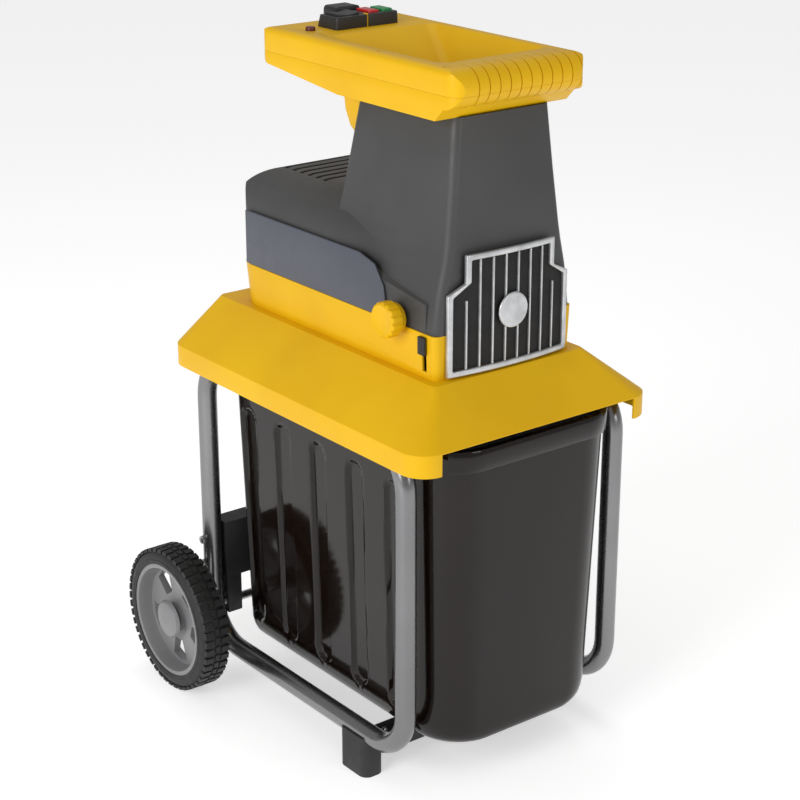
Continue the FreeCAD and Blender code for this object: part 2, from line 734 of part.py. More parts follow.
def tower_solid(gap, low):
    """The tower's outside, or its inside when drawn in by gap."""
    steps = []
    for height, spread, back in TOWER_STEPS:
        lean = max(0.0, (height - LEAN_START) / (float(d.neck_top) - LEAN_START))
        rise = gap > 0 and height == TOWER_STEPS[-1][0]
        steps.append((
            -d.neck_half - spread, d.neck_half + spread,
            d.cover_front + lean * (d.neck_front - d.cover_front), d.neck_rear + back,
            11.0, low if height == TOWER_STEPS[0][0] else height + rise))
    return loft(inset(steps, gap))


VENTS, VENT_FRONT, VENT_SPACING, VENT_WIDTH, VENT_HALF = 6, 66.0, 17.0, 6.0, 58.0
WINDOW_HALF, WINDOW_LOW, WINDOW_HIGH = 60.0, 552.0, 655.0


def upper_housing_shape():
    """The dark casing: a dome over the motor that runs into the tower."""
    shell = cover_solid(0).cut(cover_solid(float(d.wall)))
    slots = []
    for i in range(VENTS):
        y = VENT_FRONT + i * VENT_SPACING
        slots.append(bar((-VENT_HALF, y, d.cover_top - 30),
                         (VENT_HALF, y + VENT_WIDTH, d.cover_top + 5)))
    knob_hole = hole_along("X", 11, (-130, d.knob_back, d.knob_height), 40)
    window = bar((-WINDOW_HALF, d.cover_front - 2, WINDOW_LOW),
                 (WINDOW_HALF, d.cover_front + 12, WINDOW_HIGH))
    return shell.cut(Part.makeCompound(slots + [knob_hole, window]))


keep(made("upper_housing", upper_housing_shape()), "upper_housing")

# Side panels: thin covers on the casing's flanks.
for side_name, side in SIDES:
    face = side * (d.cover_half + FIT)
    start = face if side > 0 else face - d.wall
    front, rear = d.panel_front, d.panel_rear
    low, high = d.casing_waist + 1, d.panel_top
    outline = [(front, low), (rear, low), (rear, high), (front + 56, high),
               (front + 26, high - 8), (front + 8, high - 32)]
    keep(plate(f"{side_name}_side_panel", "YZ_Plane", outline, start, d.wall),
         f"{side_name}_side_panel")

# ---------------------------------------------------------------- grille

grille_back = d.cover_front - FIT
grille_front = grille_back - d.grille_depth
GRILLE_BARS = 8


def grille_outline(gap):
    """The front view of the grille: a shield with shoulders."""
    top_half, half = d.grille_top_half - gap, d.grille_half - gap
    return [
        (-half, d.grille_base + gap), (half, d.grille_base + gap), (half, d.grille_shoulder - gap / 2),
        (top_half, d.grille_shoulder + 12), (top_half, d.grille_top - gap),
        (-top_half, d.grille_top - gap), (-top_half, d.grille_shoulder + 12),
        (-half, d.grille_shoulder - gap / 2)]


frame_body = new_body("grille_frame")
frame_sketch = sketch_on(frame_body, "XZ_Plane", "grille_frame_outline", -grille_back)
polygon(frame_sketch, grille_outline(0))
polygon(frame_sketch, grille_outline(d.grille_bar))
pad(frame_body, frame_sketch, d.grille_depth, "grille_frame_pad")
keep(frame_body, "grille_frame")

keep(plate("grille_backing", "XZ_Plane", grille_outline(d.grille_bar + FIT), -grille_back,
           2), "grille_backing")

bars = []
BAR_HALF = 1.2
bar_low = d.grille_base + d.grille_bar + FIT
bar_spacing = 2 * (d.grille_half - d.grille_bar) / (GRILLE_BARS + 1)
for i in range(GRILLE_BARS):
    x = (i - (GRILLE_BARS - 1) / 2) * bar_spacing
    tall = abs(float(x)) < float(d.grille_top_half) - 12
    high = d.grille_top - d.grille_bar - FIT if tall else d.grille_shoulder - d.grille_bar - 2
    bars.append(block(f"grille_bar_{i}", (x - BAR_HALF, grille_front + 1, bar_low),
                      (x + BAR_HALF, grille_back - 2, high)))
keep(fuse("grille_bars", bars), "grille_bars")

keep(turned("grille_disc", [(0, 0), (18, 0), (19, 1), (19, 3), (0, 3)],
            (0, grille_front - 2.2, 597), "Y"), "grille_disc")

# ---------------------------------------------------------------- hopper


def hopper_outside(gap):
    """The hopper slab's outside, or its inside when drawn in by gap."""
    half = d.hopper_half - gap
    top, radius = d.hopper_top - gap, d.hopper_round - gap
    front, rear = d.hopper_front + gap, d.hopper_rear - gap
    belly = d.hopper_belly + gap
    slab = [
        Vector(0, front + radius, top), Vector(0, rear - radius, top),
        Vector(0, rear - radius, top - 2 * radius), Vector(0, d.neck_rear + 4, belly),
        Vector(0, d.neck_front + 4, belly), Vector(0, front + radius, top - 2 * radius)]
    nose = Vector(0, front, top - radius)
    tail = Vector(0, rear, top - radius)
    edges = [
        Part.makeLine(slab[0], slab[1]), Part.Arc(slab[1], tail, slab[2]).toShape(),
        Part.makeLine(slab[2], slab[3]), Part.makeLine(slab[3], slab[4]),
        Part.makeLine(slab[4], slab[5]), Part.Arc(slab[5], nose, slab[0]).toShape()]
    face = Part.Face(Part.Wire(edges))
    face.translate(Vector(-half, 0, 0))
    solid = face.extrude(Vector(2 * half, 0, 0))
    plan = loft([(-half, half, front - 1, rear + 1, 20.0 - gap, belly - 1),
                 (-half, half, front - 1, rear + 1, 20.0 - gap, top + 1)])
    across = rounded_wire(-half, half, belly - 30, top, 9.0 - gap, 0)
    across.rotate(Vector(), Vector(1, 0, 0), 90)
    across.translate(Vector(0, rear + 1, 0))
    prism = Part.Face(across).extrude(Vector(0, front - rear - 2, 0))
    return solid.common(plan).common(prism)


def funnel(gap):
    """The funnel from the mouth down to the throat, grown by gap."""
    mouth, throat = d.mouth_half + gap, d.throat_half + gap
    return loft([
        (-throat, throat, d.throat_front - gap, d.throat_rear + gap, 10.0, d.hopper_belly),
        (-throat, throat, d.throat_front - gap, d.throat_rear + gap, 10.0, d.hopper_belly + 8),
        (-mouth, mouth, d.mouth_front - gap, d.mouth_rear + gap, 14.0, d.hopper_top)])


def half_space(low, high):
    """A block that holds everything of the hopper between two heights."""
    return bar((-150, -300, low), (150, 200, high))


def hopper_upper_shape():
    """The hopper's upper shell with the funnel moulded in."""
    shell = hopper_outside(0).cut(hopper_outside(float(d.wall)))
    upper = shell.common(half_space(d.hopper_split, d.hopper_top + 1))
    walls = funnel(float(d.wall)).common(half_space(d.hopper_belly + 3.5, d.hopper_top))
    divider = bar((-1, d.switch_front + 1, d.hopper_top - 1),
                  (1, d.switch_front + 9, d.switch_top + 1))
    opening = joined([funnel(0), bar((-d.mouth_half, d.mouth_front, d.hopper_top - 0.01),
                                     (d.mouth_half, d.mouth_rear, d.hopper_top + 2))])
    reset_hole = hole_along("Z", d.reset_radius + FIT,
                            (d.reset_side, d.reset_back, d.hopper_top - 10), 20)
    return joined([upper, walls, divider]).cut(opening).cut(reset_hole)


def hopper_lower_shape():
    """The hopper's lower shell: a tray that caps the tower, with a collar behind it."""
    seam = d.hopper_split
    shell = hopper_outside(0).cut(hopper_outside(float(d.wall)))
    lower = shell.common(half_space(d.hopper_belly - 1, seam - 0.2))
    throat = bar((-d.throat_half - 4, d.throat_front - 4, d.hopper_belly - 1),
                 (d.throat_half + 4, d.throat_rear + 4, d.hopper_belly + 4))
    collar = loft([
        (-30.0, 30.0, d.neck_rear + 4, d.neck_rear + 14, 4.0, d.hopper_belly - 48),
        (-44.0, 44.0, d.neck_rear + 1, d.neck_rear + 38, 12.0, d.hopper_belly + 1)])
    inner = hopper_outside(0.5).common(half_space(d.hopper_belly, seam))
    return joined([lower, collar.cut(inner).cut(cover_solid(-FIT))]).cut(throat)


keep(made("hopper_upper_shell", hopper_upper_shape()), "hopper_upper_shell")
keep(made("hopper_lower_shell", hopper_lower_shape()), "hopper_lower_shell")


def chute_shape():
    """The feed chute inside the tower, from the hopper's throat down to the drum."""
    drop = d.hopper_belly - 4

    def sections(gap):
        throat = d.throat_half + gap
        return [
            (-44.0 - gap, 66.0 + gap, -184.0 - gap, -112.0 + gap, 6.0, 648.0),
            (-throat, throat, d.throat_front - gap, d.throat_rear + gap, 10.0, drop)]

    return loft(sections(2.5)).cut(loft([
        sections(0)[0][:5] + (647.9,), sections(0)[1][:5] + (drop + 0.1,)]))


keep(made("feed_chute", chute_shape()), "feed_chute")

# ---------------------------------------------------------------- cutter

DRUM_FIT = 0.06  # running clearance of shafts in their bearings


def along_drum(y):
    """The point of the drum's axis at a distance along the machine."""
    return (d.drum_side, y, d.drum_height)


CUTTER_LEFT, CUTTER_RIGHT = -60.0, 84.0
CUTTER_LOW, CUTTER_HIGH = 531.0, 645.0
BEARING_RADIUS, BEARING_WIDTH = 16.0, 9.0
cutter_front = d.drum_front - 13
cutter_rear = d.drum_rear + 13

cutter_block = block("cutter_block", (CUTTER_LEFT, cutter_front, CUTTER_LOW),
                     (CUTTER_RIGHT, cutter_rear, CUTTER_HIGH))
cutter_cavity = block("cutter_cavity", (CUTTER_LEFT + 8, d.drum_front - 1.5, CUTTER_LOW - 1),
                      (CUTTER_RIGHT - 10, d.drum_rear + 1.5, CUTTER_HIGH + 1))
cutter_bore = rod("cutter_bore", BEARING_RADIUS, along_drum(cutter_front - 1),
                  cutter_rear - cutter_front + 2, "Y")
SCREW_RADIUS = 4.0
cutter_thread = rod("cutter_thread", SCREW_RADIUS + DRUM_FIT,
                    (CUTTER_LEFT - 1, d.knob_back, d.knob_height), 20, "X")
keep(cut("cutter_housing", cutter_block, [cutter_cavity, cutter_bore, cutter_thread]),
     "cutter_housing")

# The cutting drum: a steel roll with eight undercut teeth that squeezes branches on the plate.
TEETH = 8


def drum_shape():
    points = []
    root = d.drum_radius - 9
    for i in range(TEETH):
        for turn, radius in ((0.0, d.drum_radius), (0.16, d.drum_radius - 1), (0.22, root),
                             (0.86, root)):
            angle = 2 * math.pi * (i + turn) / TEETH
            points.append(Vector(d.drum_side + radius * math.cos(angle), d.drum_front,
                                 d.drum_height + radius * math.sin(angle)))
    roll = Part.Face(Part.makePolygon(points + points[:1])).extrude(
        Vector(0, d.drum_rear - d.drum_front, 0))
    return roll.cut(hole_along("Y", d.shaft_radius, along_drum(d.drum_front - 1), 80))


keep(made("cutting_drum", drum_shape()), "cutting_drum")

SHAFT_END = -46.0
shaft_start = cutter_front + 1
keep(turned("drum_shaft", [(0, 0), (d.shaft_radius, 0), (d.shaft_radius, SHAFT_END - shaft_start),
                           (0, SHAFT_END - shaft_start)], along_drum(shaft_start), "Y"),
     "drum_shaft")

bearings = [
    turned(f"{bearing_name}_drum_bearing", sleeve_profile(
        d.shaft_radius + DRUM_FIT, BEARING_RADIUS, 0, BEARING_WIDTH), along_drum(start), "Y")
    for bearing_name, start in (("front", cutter_front + 2), ("rear", cutter_rear - 11))]

# The pressure plate that branches are squeezed against; the knob's screw sets its gap.
PLATE_THICKNESS = 13.0
plate_face = d.drum_side - d.drum_radius - 1
keep(block("pressure_plate", (plate_face - PLATE_THICKNESS, d.drum_front + 1, CUTTER_LOW + 12),
           (plate_face, d.drum_rear - 1, CUTTER_HIGH - 6)), "pressure_plate")

knob_foot = d.knob_face - 24
screw_end = 3 - knob_foot
screw_tip = plate_face - PLATE_THICKNESS
keep(rod("pressure_screw", SCREW_RADIUS, (screw_end, d.knob_back, d.knob_height),
         screw_tip - screw_end, "X"), "pressure_screw")

KNOB_FLUTES = 14
knob_disc = turned("knob_disc", [(0, 0), (d.knob_radius - 4, 0), (d.knob_radius - 2, 6),
                                 (d.knob_radius, 8), (d.knob_radius, 21), (d.knob_radius - 3, 24),
                                 (d.knob_radius - 8, 22), (0, 22)],
                   (-knob_foot, d.knob_back, d.knob_height), "-X")
flutes = []
for i in range(KNOB_FLUTES):
    turn = 2 * math.pi * i / KNOB_FLUTES
    flutes.append(rod(f"knob_flute_{i}", 2.2, (
        -d.knob_face - 1, d.knob_back + (d.knob_radius + 0.6) * math.cos(turn),
        d.knob_height + (d.knob_radius + 0.6) * math.sin(turn)), 20, "X"))
keep(cut("adjusting_knob", knob_disc, flutes), "adjusting_knob")

# ---------------------------------------------------------------- gear train


def gear_shape(teeth, module, centre, start, width, bore, turn=0.0):
    """A spur gear with straight-flanked teeth, its axis along Y."""
    pitch = teeth * module / 2
    tip, root = pitch + 0.85 * module, pitch - 1.2 * module
    step = 2 * math.pi / teeth
    flank = ((-0.33, root), (-0.10, tip), (0.10, tip), (0.33, root))
    points = []
    for i in range(teeth):
        for share, radius in flank:
            angle = turn + step * (i + share)
            points.append(Vector(centre[0] + radius * math.cos(angle), start,
                                 centre[1] + radius * math.sin(angle)))
    solid = Part.Face(Part.makePolygon(points + points[:1])).extrude(Vector(0, width, 0))
    if bore:
        solid = solid.cut(hole_along("Y", bore, (centre[0], start - 1, centre[1]), width + 2))
    return solid


def meshing_turn(driver, driver_teeth, driver_turn, follower, follower_teeth):
    """The turn that puts a follower's tooth space on a driver's tooth between their centres."""
    line = math.atan2(follower[1] - driver[1], follower[0] - driver[0])
    phase = (line - driver_turn) * driver_teeth / (2 * math.pi)
    step = 2 * math.pi / follower_teeth
    return line + math.pi + step * (phase - math.floor(phase) + 0.5)


MOTOR_TEETH, LAY_TEETH, LAY_MODULE = 12, 60, 1.5
PINION_TEETH, DRUM_TEETH, DRUM_MODULE = 12, 54, 2.0
drum_point = (float(d.drum_side), float(d.drum_height))
lay_point = (float(d.lay_side), float(d.lay_height))
motor_point = (0.0, float(d.motor_height))
DRUM_GEAR_START, DRUM_GEAR_WIDTH = -90.0, 16.0
LAY_GEAR_START, LAY_GEAR_WIDTH = -68.0, 14.0
LAY_SHAFT_RADIUS = 6.0

pinion_turn = meshing_turn(drum_point, DRUM_TEETH, 0.0, lay_point, PINION_TEETH)
motor_turn = meshing_turn(lay_point, LAY_TEETH, 0.0, motor_point, MOTOR_TEETH)

keep(made("drum_gear", gear_shape(DRUM_TEETH, DRUM_MODULE, drum_point, DRUM_GEAR_START,
                                  DRUM_GEAR_WIDTH, float(d.shaft_radius))), "drum_gear")
keep(made("lay_gear", gear_shape(LAY_TEETH, LAY_MODULE, lay_point, LAY_GEAR_START,
                                 LAY_GEAR_WIDTH, LAY_SHAFT_RADIUS)), "lay_gear")
lay_bar = hole_along("Y", LAY_SHAFT_RADIUS, (d.lay_side, -97.0, d.lay_height), 50)
lay_teeth = gear_shape(PINION_TEETH, DRUM_MODULE, lay_point, DRUM_GEAR_START, DRUM_GEAR_WIDTH, 0,
                       pinion_turn)
keep(made("lay_shaft", joined([lay_bar, lay_teeth])), "lay_shaft")
motor_teeth = gear_shape(MOTOR_TEETH, LAY_MODULE, motor_point, LAY_GEAR_START - 1,
                         LAY_GEAR_WIDTH + 2, 5.0, motor_turn)
motor_pinion = made("motor_pinion", motor_teeth)

# Gearbox: a cast tub bolted behind the cutter, closed by a plate that also carries the motor.
GEARBOX_LOW, GEARBOX_HIGH = 531.0, 662.0
GEARBOX_LEFT, GEARBOX_RIGHT = -94.0, 88.0
GEARBOX_FRONT, GEARBOX_REAR = -100.0, -50.0
PLATE_REAR = -45.0
GEARBOX_ROUND, GEARBOX_WALL = 26.0, 4.0
tub_block = block("gearbox_block", (GEARBOX_LEFT, GEARBOX_FRONT, GEARBOX_LOW),
                  (GEARBOX_RIGHT, GEARBOX_REAR, GEARBOX_HIGH))
tub_outside = rounded("gearbox_outside", tub_block, GEARBOX_ROUND, runs_along("Y"))
cavity_block = block(
    "gearbox_cavity",
    (GEARBOX_LEFT + GEARBOX_WALL, GEARBOX_FRONT + GEARBOX_WALL, GEARBOX_LOW + GEARBOX_WALL),
    (GEARBOX_RIGHT - GEARBOX_WALL, GEARBOX_REAR + 1, GEARBOX_HIGH - GEARBOX_WALL))
tub_cavity = rounded("gearbox_hollow", cavity_block, GEARBOX_ROUND - GEARBOX_WALL, runs_along("Y"))
tub_drum_hole = rod("gearbox_drum_hole", d.shaft_radius + 1, along_drum(GEARBOX_FRONT - 1), 10, "Y")
tub_lay_hole = rod("gearbox_lay_hole", LAY_SHAFT_RADIUS + DRUM_FIT,
                   (d.lay_side, GEARBOX_FRONT - 1, d.lay_height), 10, "Y")
keep(cut("gearbox_casing", tub_outside, [tub_cavity, tub_drum_hole, tub_lay_hole]),
     "gearbox_casing")
lid_block = block("gearbox_lid", (GEARBOX_LEFT, GEARBOX_REAR, GEARBOX_LOW),
                  (GEARBOX_RIGHT, PLATE_REAR, GEARBOX_HIGH))
lid_plate = rounded("gearbox_lid_plate", lid_block, GEARBOX_ROUND, runs_along("Y"))
lid_holes = [
    rod("lid_lay_hole", LAY_SHAFT_RADIUS + DRUM_FIT, (d.lay_side, GEARBOX_REAR - 1, d.lay_height),
        8, "Y"),
    rod("lid_motor_hole", 12, (0, GEARBOX_REAR - 1, d.motor_height), 8, "Y"),
    rod("lid_drum_hole", d.shaft_radius + DRUM_FIT, along_drum(GEARBOX_REAR - 1), 8, "Y")]
keep(cut("gearbox_cover", lid_plate, lid_holes), "gearbox_cover")

# ---------------------------------------------------------------- motor

ROTOR_GAP = 0.6
ROTOR_SHAFT = 8.0


def along_motor(y):
    """The point of the motor's axis at a distance along the machine."""
    return (0, y, d.motor_height)


stator_length = d.motor_rear - d.motor_front
keep(turned("motor_stator", sleeve_profile(d.rotor_radius + ROTOR_GAP, d.stator_radius, 0,
                                           stator_length), along_motor(d.motor_front), "Y"),
     "motor_stator")
rotor_front = LAY_GEAR_START - 3
fan_end = 104.0
rotor = [
    (0, rotor_front), (5, rotor_front), (5, -52), (ROTOR_SHAFT, -50), (ROTOR_SHAFT, d.motor_front + 8),
    (d.rotor_radius, d.motor_front + 8), (d.rotor_radius, d.motor_rear - 8),
    (ROTOR_SHAFT, d.motor_rear - 8), (ROTOR_SHAFT, fan_end), (0, fan_end)]
rotor_bar = turned("rotor_bar", rotor, along_motor(0), "Y")
keep(fuse("motor_rotor", [rotor_bar, motor_pinion]), "motor_rotor")

SHIELD_THICKNESS = 11.0
for shield_name, start in (("front", d.motor_front - SHIELD_THICKNESS),
                           ("rear", d.motor_rear)):
    disc = rod(f"{shield_name}_shield_disc", d.stator_radius, along_motor(start),
               SHIELD_THICKNESS, "Y")
    foot = block(f"{shield_name}_shield_foot", (-46, start, d.deck_top + d.wall),
                 (46, start + SHIELD_THICKNESS, d.motor_height - 30))
    solid = fuse(f"{shield_name}_shield_solid", [disc, foot])
    bore = rod(f"{shield_name}_shield_bore", 14, along_motor(start - 1), SHIELD_THICKNESS + 2, "Y")
    keep(cut(f"{shield_name}_motor_shield", solid, [bore]), f"{shield_name}_motor_shield")

for shield_name, start in (("front", d.motor_front - SHIELD_THICKNESS + 1),
                           ("rear", d.motor_rear + 1)):
    bearings.append(turned(f"{shield_name}_motor_bearing", sleeve_profile(
        ROTOR_SHAFT + DRUM_FIT, 14, 0, 9), along_motor(start), "Y"))
keep(fuse("shaft_bearings", bearings), "shaft_bearings")

FAN_BLADES, FAN_START, FAN_HUB, FAN_RADIUS, FAN_BLADE_HALF = 9, 90.0, 16.0, 52.0, 1.25


def blade_shape(turn):
    """One flat blade of the fan, turned about the motor's axis."""
    reach = []
    for along, across in ((FAN_HUB - 1, -FAN_BLADE_HALF), (FAN_RADIUS - 3, -FAN_BLADE_HALF),
                          (FAN_RADIUS - 3, FAN_BLADE_HALF), (FAN_HUB - 1, FAN_BLADE_HALF)):
        reach.append(Vector(along * math.cos(turn) - across * math.sin(turn), FAN_START + 2,
                            d.motor_height + along * math.sin(turn) + across * math.cos(turn)))
    return Part.Face(Part.makePolygon(reach + reach[:1])).extrude(Vector(0, 12, 0))


fan_parts = [turned("fan_hub", sleeve_profile(ROTOR_SHAFT, FAN_HUB, 0, 14),
                    along_motor(FAN_START), "Y"),
             turned("fan_disc", sleeve_profile(FAN_HUB - 1, FAN_RADIUS, 0, 2.5),
                    along_motor(FAN_START), "Y")]
for i in range(FAN_BLADES):
    fan_parts.append(made(f"fan_blade_{i}", blade_shape(2 * math.pi * i / FAN_BLADES)))
keep(fuse("cooling_fan", fan_parts), "cooling_fan")

capacitor_rest = d.deck_top + d.wall
keep(rod("motor_capacitor", 17, (78, -10.0, capacitor_rest + 17), 74, "Y"), "motor_capacitor")

# ---------------------------------------------------------------- controls on the hopper

switch_base = d.hopper_top
ROCKER_HALF, BUTTON_WIDTH, BUTTON_TRAVEL = 17.0, 15.0, 2.5
rocker_x, stop_x, start_x = -24.0, 15.0, 36.0
well_front = d.switch_front + 7
well_rear = d.switch_rear - 7


ROCKER_PIVOT = d.switch_top - 4
PIN_RADIUS = 2.0
WELL_FLOOR = switch_base + 2


def rocker_pin(radius, stub):
    """The rocker's two pivot pins in one bar, reaching past the well by stub at each end."""
    return hole_along("Y", radius, (rocker_x, well_front - stub, ROCKER_PIVOT),
                      well_rear - well_front + 2 * stub)


def switch_box_shape():
    """The black switch box: rounded, with a well for each control and a slot for the rib."""
    shell = loft([
        (-d.switch_half, d.switch_half, d.switch_front, d.switch_rear, 3.0, switch_base),
        (-d.switch_half + 1, d.switch_half - 1, d.switch_front, d.switch_rear - 4, 3.0,
         d.switch_top)])
    wells = [bar((x - half, well_front, WELL_FLOOR), (x + half, well_rear, d.switch_top + 1))
             for x, half in ((rocker_x, ROCKER_HALF + FIT),
                             (stop_x, BUTTON_WIDTH / 2 + FIT), (start_x, BUTTON_WIDTH / 2 + FIT))]
    rib = bar((-1 - FIT, d.switch_front - 1, switch_base - 1),
              (1 + FIT, d.switch_front + 9 + FIT, d.switch_top + 1))
    return shell.cut(Part.makeCompound(wells + [rib])).cut(rocker_pin(PIN_RADIUS + 0.1, 1.6))


keep(made("switch_box", switch_box_shape()), "switch_box")

for button_name, x in (("stop", stop_x), ("start", start_x)):
    cap = block(f"{button_name}_button_block",
                (x - BUTTON_WIDTH / 2, well_front + FIT, WELL_FLOOR + BUTTON_TRAVEL + 0.5),
                (x + BUTTON_WIDTH / 2, well_rear - FIT, d.switch_top + 3))
    keep(rounded(f"{button_name}_button", cap, 1.5, runs_along("Z")), f"{button_name}_button")


def rocker_shape():
    """The direction rocker: a shallow V-topped key that tips on two pins along Y."""
    outline = ((-16, 0), (-4, -4), (4, -4), (16, 0), (16, 7), (0, 5), (-16, 7))
    points = [Vector(rocker_x + x, well_front + FIT, ROCKER_PIVOT + z) for x, z in outline]
    key = Part.Face(Part.makePolygon(points + points[:1])).extrude(
        Vector(0, well_rear - well_front - 2 * FIT, 0))
    return joined([key, rocker_pin(PIN_RADIUS, 1.2)])


keep(made("direction_rocker", rocker_shape()), "direction_rocker")

# Mains inlet behind the switch box: a shroud with three pins.
inlet_block = block("inlet_block", (-19, d.switch_rear + FIT, switch_base),
                    (19, d.switch_rear + 26, switch_base + 20))
inlet_round = rounded("inlet_round", inlet_block, 5, runs_along("Y"))
inlet_cavity = block("inlet_cavity", (-14, d.switch_rear + 8, switch_base + 4),
                     (14, d.switch_rear + 27, switch_base + 16))
inlet_shroud = cut("inlet_shroud", inlet_round, [inlet_cavity])
pins = [block(f"inlet_pin_{i}", (x - 1, d.switch_rear + 8, switch_base + z - 2),
              (x + 1, d.switch_rear + 22, switch_base + z + 2))
        for i, (x, z) in enumerate(((-7, 9), (0, 11.5), (7, 9)))]
keep(fuse("power_inlet", [inlet_shroud] + pins), "power_inlet")

# Overload reset: a round push-button on the hopper's top beside the switch box.
keep(turned("reset_button", [(0, -5), (d.reset_radius, -5), (d.reset_radius, 4.4), (0, 5.2)],
            (d.reset_side, d.reset_back, switch_base), "Z"), "reset_button")

# Box lock: a slider in the casing's flank whose tongue also works the interlock switch.
lock_x = -d.casing_half
slider_top = 580.0
slider_pad = block("slider_pad", (lock_x - 5, d.lock_back - 6, slider_top - 22),
                   (lock_x - FIT, d.lock_back + 6, slider_top))
slider_stem = block("slider_stem", (lock_x - 1, d.lock_back - 3.5, slider_top - 16),
                    (lock_x + 10, d.lock_back + 3.5, slider_top - 4))
keep(fuse("box_lock_slider", [slider_pad, slider_stem]), "box_lock_slider")
switch_floor = d.deck_top + d.wall
keep(block("interlock_switch", (lock_x + 12, d.lock_back - 11, switch_floor),
           (lock_x + 30, d.lock_back + 11, switch_floor + 30)), "interlock_switch")


def discharge_shape():
    """The discharge chute: a rectangular sleeve under the cutter, down through the deck."""
    x_low, x_high, y_low, y_high = DISCHARGE
    low, high = 498.0, CUTTER_LOW - FIT
    outer = bar((x_low + FIT, y_low + FIT, low), (x_high - FIT, y_high - FIT, high))
    return outer.cut(bar((x_low + 3, y_low + 3, low - 1), (x_high - 3, y_high - 3, high + 1)))


keep(made("discharge_chute", discharge_shape()), "discharge_chute")

# Screws that hold the hopper's two shells together, up through bosses from below.
shell_screws = []
for x in (-86.0, 86.0):
    for y in (-185.0, -20.0, 100.0):
        shank = hole_along("Z", 2, (x, y, d.hopper_split - 12), 24)
        head = hole_along("Z", 4, (x, y, d.hopper_split - 14), 2)
        shell_screws.append(shank.fuse(head).removeSplitter())
keep(made("hopper_screws", Part.makeCompound(shell_screws)), "hopper_screws")

# ---------------------------------------------------------------- write the pieces

doc.recompute()
failed = [item.Name for item in doc.Objects if {"Invalid", "Error"} & set(item.State)]
assert not failed, f"failed objects: {failed}"
os.makedirs("parts", exist_ok=True)
for node in nodes:
    shape = node.Shape
    assert not shape.isNull() and shape.isValid(), f"bad shape: {node.Label}"
    shape.exportStep(f"parts/{node.Label}.step")
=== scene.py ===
import json
import math

import bmesh
import bpy
from mathutils import Matrix, Vector

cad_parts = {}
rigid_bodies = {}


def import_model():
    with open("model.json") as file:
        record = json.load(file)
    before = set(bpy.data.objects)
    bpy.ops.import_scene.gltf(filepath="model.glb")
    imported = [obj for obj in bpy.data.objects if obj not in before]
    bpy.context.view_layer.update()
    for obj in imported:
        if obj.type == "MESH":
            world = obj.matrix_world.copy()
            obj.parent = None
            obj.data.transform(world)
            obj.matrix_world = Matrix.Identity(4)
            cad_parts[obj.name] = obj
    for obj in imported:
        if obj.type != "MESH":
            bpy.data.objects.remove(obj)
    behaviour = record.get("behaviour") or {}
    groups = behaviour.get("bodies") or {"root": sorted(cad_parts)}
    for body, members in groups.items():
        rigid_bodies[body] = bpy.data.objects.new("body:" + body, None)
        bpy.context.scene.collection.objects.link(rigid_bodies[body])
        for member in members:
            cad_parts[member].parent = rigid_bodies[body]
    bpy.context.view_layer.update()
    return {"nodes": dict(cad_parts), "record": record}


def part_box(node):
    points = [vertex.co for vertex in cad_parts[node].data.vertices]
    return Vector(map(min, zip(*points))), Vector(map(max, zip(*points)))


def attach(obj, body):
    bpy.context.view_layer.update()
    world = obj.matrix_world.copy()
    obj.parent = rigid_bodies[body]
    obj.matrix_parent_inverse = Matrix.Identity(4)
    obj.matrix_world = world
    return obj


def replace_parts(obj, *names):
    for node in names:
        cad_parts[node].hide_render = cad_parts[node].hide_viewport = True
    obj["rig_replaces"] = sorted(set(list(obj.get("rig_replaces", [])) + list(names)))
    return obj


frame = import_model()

scene = bpy.context.scene
nodes = frame["nodes"]
mm = 0.001

# ------------------------------------------------------------------ stage
# White seamless floor, one broad soft light from the machine's left, weak fills from the front
# and above, and a white backdrop that lights the machine less than it shows, as in a studio.

floor_reach = 6.0
floor_mesh = bpy.data.meshes.new("floor")
floor_mesh.from_pydata(
    [(-floor_reach, -floor_reach, 0), (floor_reach, -floor_reach, 0),
     (floor_reach, floor_reach, 0), (-floor_reach, floor_reach, 0)], [], [(0, 1, 2, 3)])
floor = bpy.data.objects.new("floor", floor_mesh)
scene.collection.objects.link(floor)
floor_material = bpy.data.materials.new("floor_white")
floor_material.use_nodes = True
floor_shader = floor_material.node_tree.nodes["Principled BSDF"]
floor_shader.inputs["Base Color"].default_value = (0.86, 0.86, 0.86, 1)
floor_shader.inputs["Roughness"].default_value = 0.7
floor_shader.inputs["Emission Color"].default_value = (1, 1, 1, 1)
floor_shader.inputs["Emission Strength"].default_value = 0.50
floor_mesh.materials.append(floor_material)

world = bpy.data.worlds.new("studio")
world.use_nodes = True
backdrop = world.node_tree.nodes["Background"]
backdrop.inputs["Color"].default_value = (1, 1, 1, 1)
seen = world.node_tree.nodes.new("ShaderNodeLightPath")
backdrop_strength = world.node_tree.nodes.new("ShaderNodeMapRange")
backdrop_strength.inputs["To Min"].default_value = 0.42
backdrop_strength.inputs["To Max"].default_value = 1.0
world.node_tree.links.new(seen.outputs["Is Camera Ray"], backdrop_strength.inputs["Value"])
world.node_tree.links.new(backdrop_strength.outputs["Result"], backdrop.inputs["Strength"])
scene.world = world
scene.view_settings.view_transform = "Standard"


def soft_light(name, place, target, size, power):
    """A square area light at a place, turned to a target."""
    data = bpy.data.lights.new(name, "AREA")
    data.energy = power
    data.shape = "SQUARE"
    data.size = size
    lamp = bpy.data.objects.new(name, data)
    lamp.location = place
    lamp.rotation_euler = (Vector(target) - Vector(place)).to_track_quat("-Z", "Y").to_euler()
    scene.collection.objects.link(lamp)


soft_light("key_light", (-2.9, -0.7, 1.5), (0, 0, 0.50), 1.6, 50)
soft_light("front_fill", (0.6, -3.2, 1.5), (0, 0, 0.50), 1.0, 15)
soft_light("top_light", (0.5, 0.9, 2.9), (0, 0, 0.45), 1.4, 10)

